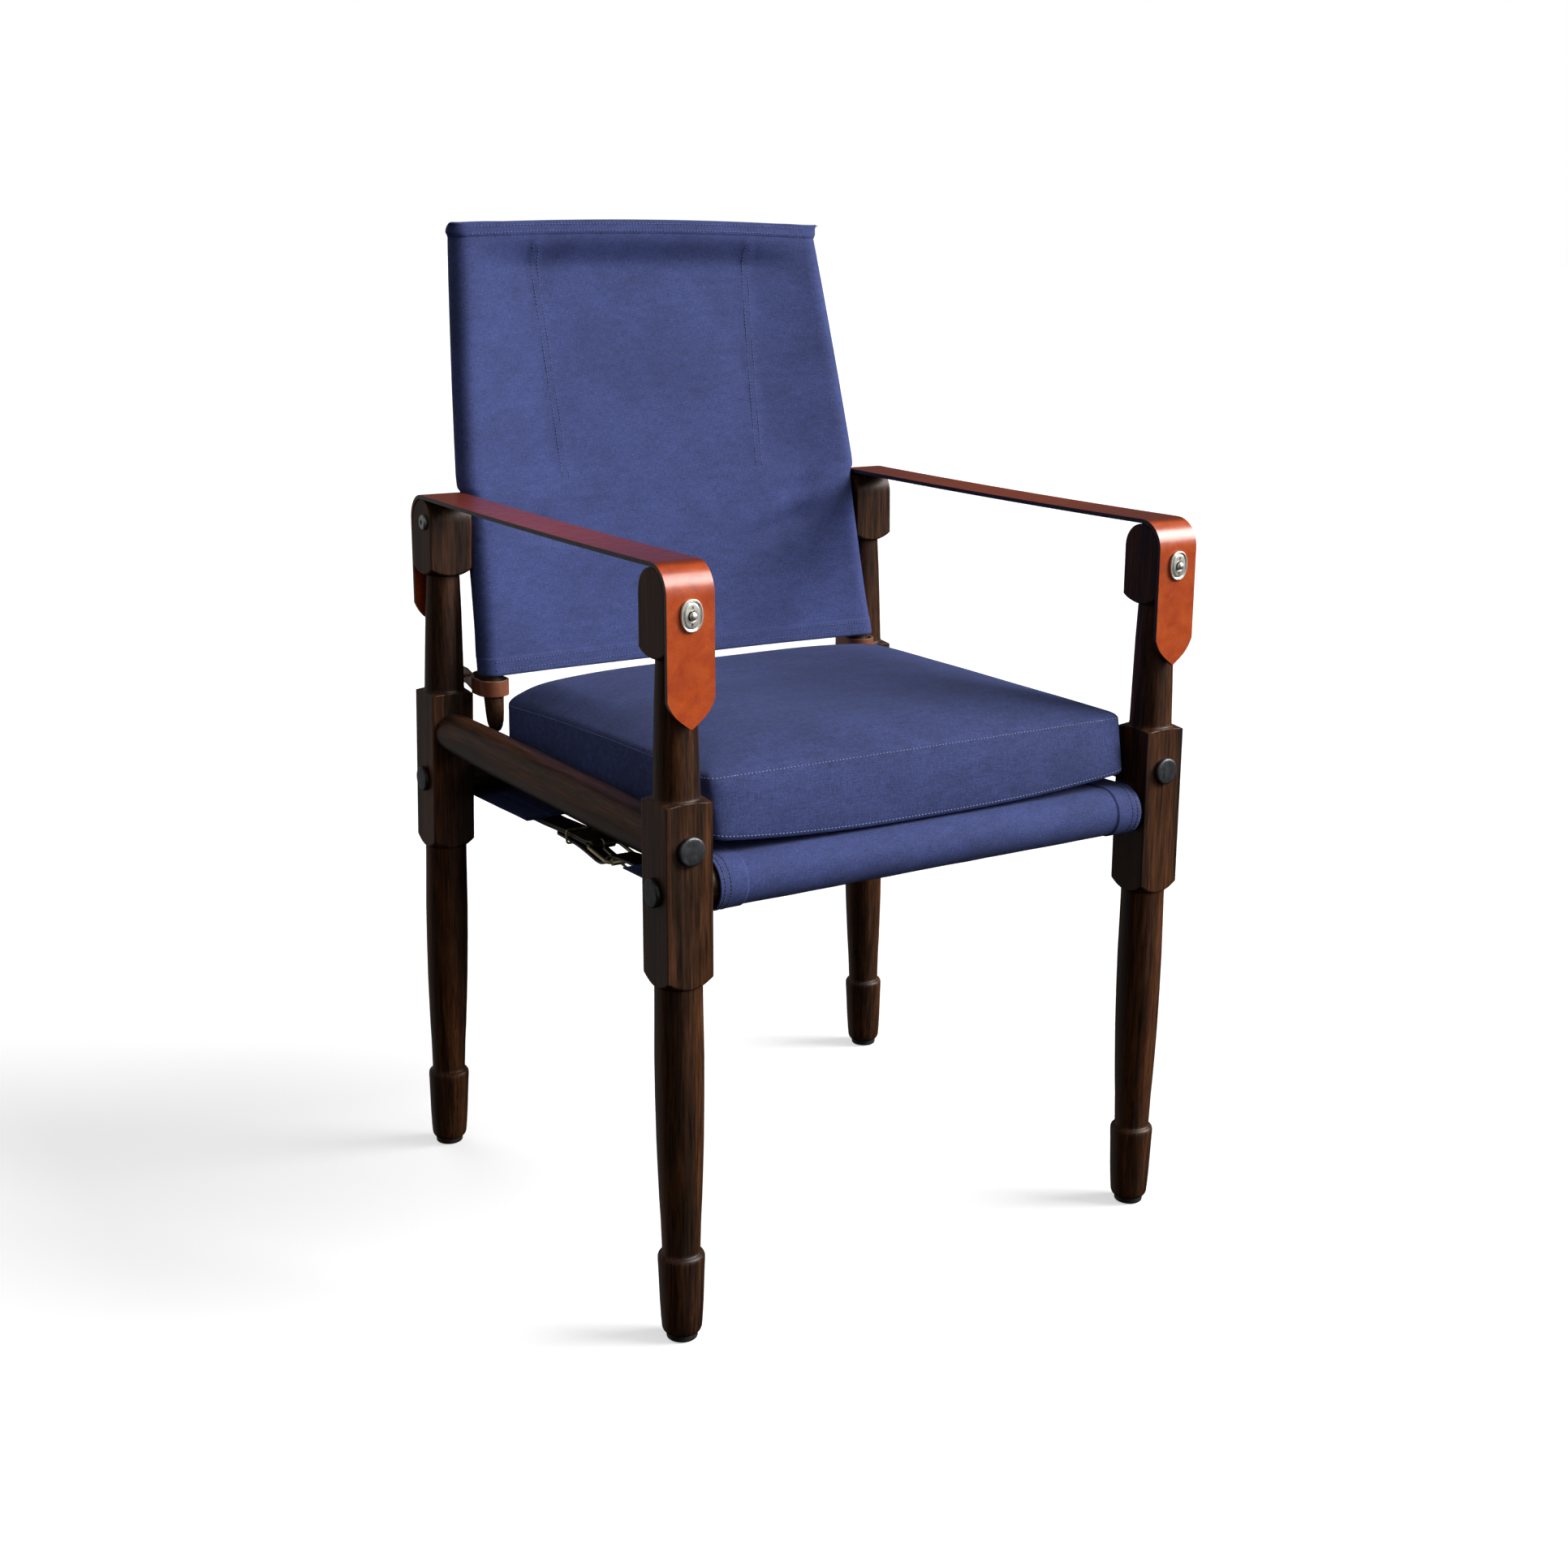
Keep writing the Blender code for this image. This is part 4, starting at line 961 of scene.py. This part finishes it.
def make_cushion():
    work = cushion_start()
    cushion = add_piece(
        work, "cushion_cover", "cushion", CUSHION_DUCK, ["seat_cushion"], crease=180.0,
    )
    remesh = cushion.modifiers.new("remesh", "REMESH")
    remesh.mode, remesh.voxel_size = "VOXEL", 0.005
    graph = bpy.context.evaluated_depsgraph_get()
    fine = bpy.data.meshes.new_from_object(cushion.evaluated_get(graph))
    cushion.modifiers.clear()
    cushion.data = fine
    fill_cushion(cushion)
    settle_cushion(cushion.data)
    smooth = cushion.modifiers.new("smooth", "SUBSURF")
    smooth.levels = smooth.render_levels = 1
    graph = bpy.context.evaluated_depsgraph_get()
    finished = bpy.data.meshes.new_from_object(cushion.evaluated_get(graph))
    cushion.modifiers.clear()
    cushion.data = finished
    finished.materials.clear()
    finished.materials.append(CUSHION_DUCK)
    finished.shade_smooth()
    surface = BVHTree.FromPolygons(
        [v.co for v in finished.vertices], [p.vertices[:] for p in finished.polygons],
    )
    rounds = []
    for level, drop in ((1.0, -0.0042), (0.0, 0.0052)):
        rounds.append(seam_round(surface, level, drop))
    stitch_rows(rounds, "cushion_stitching", "cushion", PALE_THREAD, 0.0036, 0.0027, 0.00052)


def seam_round(surface, level, drop):
    """A line round the boxing, just below the top seam or above the bottom one, found on the cover itself."""
    points = []
    half, front, rear = CUSHION_HALF, CUSHION_FRONT, CUSHION_REAR
    outline = []
    for side, y, inward, corner, start in (
        (1, front, 1, FRONT_CORNER, -90), (1, rear, -1, REAR_CORNER, 0),
        (-1, rear, -1, REAR_CORNER, 90), (-1, front, 1, FRONT_CORNER, 180),
    ):
        for a in range(0, 91, 15):
            turn = math.radians(start + a)
            outline.append((
                side * (half - corner) + corner * math.cos(turn), y + inward * corner + corner * math.sin(turn),
            ))
    outline.append(outline[0])
    dense = []
    for a, b in zip(outline, outline[1:]):
        count = max(1, int(math.dist(a, b) / 0.006))
        dense += [(a[0] + (b[0] - a[0]) * i / count, a[1] + (b[1] - a[1]) * i / count) for i in range(count)]
    dense.append(outline[0])
    middle = Vector((0.0, (front + rear) / 2, 0.0))
    for x, y in dense:
        foot = cushion_foot(x, y)
        z = CUSHION_EDGE + drop - top_droop(x, y) if level else foot + drop
        out = Vector((x, y, 0.0)) - middle
        if edge_inset(0.0, y) > REAR_CORNER:
            out = Vector((math.copysign(1.0, x), 0.0, 0.0))
        elif abs(x) < half - REAR_CORNER:
            out = Vector((0.0, math.copysign(1.0, out.y), 0.0))
        out.normalize()
        place, normal, *_ = surface.ray_cast(Vector((x, y, z)) + out * 0.04, -out, 0.08)
        if place is not None:
            points.append(place + normal * 0.0001)
    return points


# Arm straps and fasteners


def strap_route():
    """The strap's middle as (Y, Z), front tail to rear tail."""
    reach = HALF_STOCK + 0.0004 + STRAP_THICK / 2
    front_y = leg_point("front", 1, ARCH_Z).y
    lean = FRONT_LEAN * (ARCH_Z - STRAP_TIP_Z)
    tail = ARCH_Z - STRAP_TIP_Z
    route = [(front_y - reach - lean * (1 - i / 26), STRAP_TIP_Z + tail * i / 26) for i in range(26)]
    for i in range(15):
        turn = math.radians(180 - 90 * i / 14)
        route.append((front_y + reach * math.cos(turn), ARCH_Z + reach * math.sin(turn)))
    for i in range(1, 40):
        t = i / 40
        route.append((front_y + (REAR_Y - front_y) * t, ARCH_Z + reach - 0.006 * t * (1 - t)))
    for i in range(15):
        turn = math.radians(90 - 90 * i / 14)
        route.append((REAR_Y + reach * math.cos(turn), ARCH_Z + reach * math.sin(turn)))
    route += [(REAR_Y + reach, ARCH_Z - tail * i / 26) for i in range(1, 27)]
    return route


def make_arm_strap(side):
    drift = (leg_point("rear", side, STUD_Z).x - leg_point("front", side, STUD_Z).x) / (REAR_Y - FRONT_Y)
    shares = [math.sin(math.pi * k / 20) for k in range(-10, 11)]
    rows = []
    for y, z in strap_route():
        x = side * FRONT_X + drift * (y - FRONT_Y)
        rows.append([(x + STRAP_HALF * share, y, z) for share in shares])
    work = swept_grid(rows)
    for vert in work.verts:
        if vert.co.z < STRAP_TIP_Z + POINT_LENGTH:
            centre = side * FRONT_X + drift * (vert.co.y - FRONT_Y)
            share = (vert.co.x - centre) / STRAP_HALF
            pointed = 0.025 * (0.66 * abs(share) + 0.34 * abs(share) ** 5)
            t = (vert.co.z - STRAP_TIP_Z) / POINT_LENGTH
            vert.co.z = STRAP_TIP_Z + pointed + t * (POINT_LENGTH - pointed)
            if vert.co.y < 0:
                vert.co.y += FRONT_LEAN * (vert.co.z - STRAP_TIP_Z) * (1 - t)
    bmesh.ops.recalc_face_normals(work, faces=work.faces)
    name = "arm_strap_" + side_name(side)
    strap = add_piece(work, name + "_bridle", "frame", [TAN, TAN_EDGE], [name], crease=50.0)
    thicken(strap, STRAP_THICK, 1, 0.0008, 3)


def oval_ring(work, centre, across, up, out, half_width, half_height, lift, count=40):
    verts = []
    for i in range(count):
        turn = 2 * math.pi * i / count
        c, s = math.cos(turn), math.sin(turn)
        c = math.copysign(abs(c) ** 0.86, c)
        s = math.copysign(abs(s) ** 0.86, s)
        verts.append(work.verts.new(centre + across * half_width * c + up * half_height * s + out * lift))
    return verts


def make_socket(end, side):
    """An oval plate with a rolled rim and a raised inner plate."""
    name = f"strap_socket_{end}_{side_name(side)}"
    low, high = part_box(name)
    middle = (low + high) / 2
    out = Vector((0.0, -1.0 if end == "front" else 1.0, 0.0))
    base = Vector((middle.x, high.y if end == "front" else low.y, middle.z))
    across, up = Vector((1.0, 0.0, 0.0)), Vector((0.0, 0.0, 1.0))
    steps = [
        (0.0102, 0.01345, 0.0), (0.0105, 0.01375, 0.0006), (0.0103, 0.01355, 0.0014), (0.0097, 0.01295, 0.0019),
        (0.009, 0.01225, 0.0018), (0.0084, 0.01165, 0.0012), (0.0081, 0.0113, 0.0009), (0.0076, 0.0108, 0.0009),
        (0.0074, 0.01055, 0.0014), (0.0069, 0.01005, 0.0019), (0.0062, 0.0093, 0.002), (0.005, 0.0062, 0.002),
        (0.0043, 0.0045, 0.0022), (0.0038, 0.0039, 0.0018), (0.0036, 0.0037, 0.0004),
    ]
    work = bmesh.new()
    previous = None
    for half_width, half_height, lift in steps:
        ring = oval_ring(work, base, across, up, out, half_width, half_height, lift)
        edges = [work.edges.new((ring[i], ring[(i + 1) % len(ring)])) for i in range(len(ring))]
        if previous:
            bmesh.ops.bridge_loops(work, edges=previous + edges)
        else:
            first = edges
        previous = edges
    bmesh.ops.bridge_loops(work, edges=previous + first)
    bmesh.ops.recalc_face_normals(work, faces=work.faces)
    add_piece(work, name + "_plate", "frame", NICKEL, [name], crease=60.0)


def make_stud(end, side):
    name = f"strap_stud_{end}_{side_name(side)}"
    low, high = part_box(name)
    middle = (low + high) / 2
    out = Vector((0.0, -1.0 if end == "front" else 1.0, 0.0))
    tip = Vector((middle.x, low.y if end == "front" else high.y, middle.z))
    work = lathe([
        (0.0, 0.0), (0.0014, -0.0002), (0.0026, -0.0008), (0.0034, -0.0018), (0.0036, -0.0028),
        (0.0031, -0.0038), (0.0024, -0.0045), (0.0023, -0.0052), (0.0035, -0.0058), (0.0035, -0.0104),
        (0.0018, -0.011),
        (0.0018, -0.026), (0.0, -0.028),
    ], aimed(tip, out), 36)
    add_piece(work, name + "_fine", "frame", NICKEL, [name], crease=60.0)


def make_arms():
    for side in (-1, 1):
        make_arm_strap(side)
        for end in ("front", "rear"):
            make_socket(end, side)
            make_stud(end, side)


# Cinch straps


def leather_strip(route, x, half, name, body, stands_for=(), thick=0.0024, pointed=0.0):
    """A strip of bridle leather along a (Y, Z) route; its last end may be pointed."""
    shares = [-1.0, -0.9, -0.5, 0.0, 0.5, 0.9, 1.0]
    rows = [[(x + half * share, y, z) for share in shares] for y, z in route]
    work = swept_grid(rows)
    if pointed:
        end_y = route[-1][0]
        for vert in work.verts:
            if vert.co.y > end_y - pointed:
                share = abs(vert.co.x - x) / half
                t = (vert.co.y - (end_y - pointed)) / pointed
                vert.co.y -= pointed * t * 0.9 * share**2
    bmesh.ops.recalc_face_normals(work, faces=work.faces)
    strip = add_piece(work, name, body, [OXBLOOD, TAN_EDGE], stands_for, crease=50.0)
    thicken(strip, thick, 1, 0.0004)
    return strip


def wire_ring(points, radius, name, body, stands_for=(), closed=True, finish=None):
    """Round wire along points, swept as rings."""
    work = bmesh.new()
    points = [Vector(p) for p in points]
    count, previous, first = len(points), None, None
    for i, point in enumerate(points):
        before = points[(i - 1) % count] if closed or i else points[i]
        after = points[(i + 1) % count] if closed or i < count - 1 else points[i]
        circle = bmesh.ops.create_circle(
            work, cap_ends=not closed and i in (0, count - 1), segments=14, radius=radius,
            matrix=aimed(point, after - before),
        )["verts"]
        ring = [e for e in work.edges if set(e.verts) <= set(circle) and len(e.link_faces) < 2]
        if previous:
            bmesh.ops.bridge_loops(work, edges=previous + ring)
        else:
            first = ring
        previous = ring
    if closed:
        bmesh.ops.bridge_loops(work, edges=previous + first)
    bmesh.ops.recalc_face_normals(work, faces=work.faces)
    return add_piece(work, name, body, finish or BRASS, stands_for, crease=60.0)


def rounded_box(half_across, low, high, corner, steps=5):
    """A rounded rectangle as (across, along) points."""
    points = []
    for cx, cy, start in (
        (half_across - corner, high - corner, 0), (corner - half_across, high - corner, 90),
        (corner - half_across, low + corner, 180), (half_across - corner, low + corner, 270),
    ):
        for i in range(steps + 1):
            turn = math.radians(start + 90 * i / steps)
            points.append((cx + corner * math.cos(turn), cy + corner * math.sin(turn)))
    return points


def make_cinch(number, x):
    route = [(FRONT_Y + p.x, p.y) for p in smooth_route(BILLET_ROUTE, 5)]
    leather_strip(route, x, CINCH_HALF, f"billet_{number}", "frame", [f"cinch_billet_{number}"], 0.0024, 0.016)
    top = lower_run_z(FRONT_Y + 0.385) - 0.0026
    around = [
        (HEEL_Y + 0.0033 * math.cos(math.radians(a)), HEEL_Z + 0.0033 * math.sin(math.radians(a)))
        for a in range(60, 301, 15)
    ]
    chape = [(FRONT_Y + 0.385, top), (FRONT_Y + 0.35, top + 0.0006), (FRONT_Y + 0.3, HEEL_Z + 0.0012),
             (HEEL_Y + 0.012, HEEL_Z + 0.0012), *around, (HEEL_Y + 0.012, HEEL_Z - 0.0012),
             (FRONT_Y + 0.3, HEEL_Z - 0.0013), (FRONT_Y + 0.35, top - 0.0018), (FRONT_Y + 0.378, top - 0.0024)]
    leather_strip(chape, x, CINCH_HALF, f"chape_{number}", "frame", [f"cinch_chape_{number}"], 0.0021)
    rise = math.atan2(HEEL_Z - ROLLER_Z, HEEL_Y - ROLLER_Y)
    length = math.hypot(HEEL_Z - ROLLER_Z, HEEL_Y - ROLLER_Y)
    place = Matrix.Translation((x, ROLLER_Y, ROLLER_Z)) @ Matrix.Rotation(rise, 4, "X")
    outline = [place @ Vector((px, py, 0.0)) for px, py in rounded_box(0.0165, 0.0, length, 0.005)]
    wire_ring(outline, 0.0019, f"buckle_{number}", "frame", [f"cinch_buckle_{number}"])
    roller = lathe([
        (0.0021, -0.0122), (0.0034, -0.0122), (0.0035, -0.0118), (0.0035, 0.0118), (0.0034, 0.0122),
        (0.0021, 0.0122), (0.0021, -0.0122),
    ], aimed((x, ROLLER_Y, ROLLER_Z), (1.0, 0.0, 0.0)), 28)
    add_piece(roller, f"roller_{number}", "frame", BRASS)
    ring = 0.0019 + 0.0004 + 0.0014
    tip_z = ROLLER_Z - 0.0034 - 0.0014 - 0.0006 - HEEL_Z
    tongue = [(x, HEEL_Y + ring * math.cos(math.radians(a)), HEEL_Z + ring * math.sin(math.radians(a)))
              for a in range(-10, 266, 15)]
    reach = ROLLER_Y - 0.0055 - HEEL_Y
    tongue += [(x, HEEL_Y + reach * t, HEEL_Z - ring + (tip_z + ring) * t) for t in (0.25, 0.5, 0.75, 1.0)]
    prong = f"prong_{number}"
    wire_ring(tongue, 0.0014, prong + "_fine", prong, ["cinch_" + prong], closed=False)
    keeper_y = FRONT_Y + 0.295
    keeper = [(x + px, keeper_y, pz) for px, pz in rounded_box(0.015, 0.3752, 0.3886, 0.0028)]
    wire_ring(keeper, 0.0011, f"keeper_{number}", "frame")


def make_cinches():
    for number, x in enumerate(CINCH_X, start=1):
        make_cinch(number, x)


# Room


def make_room():
    """A white floor that lights nothing, a white sky that only the camera sees, and soft suns."""
    work = bmesh.new()
    bmesh.ops.create_circle(work, cap_ends=True, segments=96, radius=60.0)
    bmesh.ops.translate(work, vec=(0.0, 0.0, -0.0003), verts=work.verts)
    mesh = bpy.data.meshes.new("floor")
    work.to_mesh(mesh)
    work.free()
    floor = bpy.data.objects.new("floor", mesh)
    bpy.context.scene.collection.objects.link(floor)
    paper = new_finish(
        "pale_floor", (0.8, 0.8, 0.8), 0.9, emission_color=(1.0, 1.0, 1.0, 1.0), emission_strength=0.55,
    )
    mesh.materials.append(paper)
    floor.visible_diffuse = floor.visible_glossy = False
    world = bpy.context.scene.world or bpy.data.worlds.new("room")
    bpy.context.scene.world = world
    world.use_nodes = True
    sky = world.node_tree.nodes["Background"]
    sky.inputs["Color"].default_value = (1.0, 1.0, 1.0, 1.0)
    sky.inputs["Strength"].default_value = 1.0
    world.cycles_visibility.diffuse = world.cycles_visibility.glossy = False
    bpy.context.scene.view_settings.view_transform = "Standard"
    for name, toward, strength, width in (
        ("key", (0.74, -0.46, 0.51), 3.75, 34.0), ("front_fill", (0.2, -0.95, 0.25), 0.45, 50.0),
        ("left_fill", (-0.85, -0.25, 0.45), 0.12, 40.0), ("dome", (0.1, -0.1, 1.0), 0.22, 179.0),
        ("left_gloss", (-0.49, 0.78, -0.05), 0.3, 80.0), ("rear_fill", (-0.15, 0.9, 0.35), 1.0, 60.0),
        ("key_gloss", (0.49, -0.52, 0.7), 4.2, 40.0),
    ):
        lamp = bpy.data.lights.new(name, "SUN")
        lamp.energy, lamp.angle = strength, math.radians(width)
        sun = bpy.data.objects.new(name, lamp)
        sun.matrix_world = aimed((0.0, 0.0, 3.0), toward)
        sun.visible_diffuse = not name.endswith("gloss")
        sun.visible_glossy = name != "rear_fill"
        bpy.context.scene.collection.objects.link(sun)


def make_camera():
    yaw, pitch, roll = (math.radians(a) for a in (32.4932, -14.9669, 0.5157))
    forward = Vector((math.sin(yaw) * math.cos(pitch), math.cos(yaw) * math.cos(pitch), math.sin(pitch)))
    right = Vector((math.cos(yaw), -math.sin(yaw), 0.0))
    above = right.cross(forward)
    across = right * math.cos(roll) + above * math.sin(roll)
    upward = above * math.cos(roll) - right * math.sin(roll)
    lens = bpy.data.cameras.new("camera")
    lens.lens, lens.sensor_width = 48.13, 36.0
    camera = bpy.data.objects.new("camera", lens)
    place = Matrix((across, upward, -forward)).transposed().to_4x4()
    camera.matrix_world = Matrix.Translation((-1.089, -1.7272, 0.9574)) @ place
    bpy.context.scene.collection.objects.link(camera)
    bpy.context.scene.camera = camera


def dress_hidden_nuts():
    for name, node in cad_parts.items():
        if "_nut_" in name:
            node.data.materials.clear()
            node.data.materials.append(ZINC)


make_room()
make_camera()
make_frame()
make_posts()
make_pivot_heads()
make_back_canvas()
make_stay_loops()
make_sling()
make_cushion()
make_arms()
make_cinches()
dress_hidden_nuts()
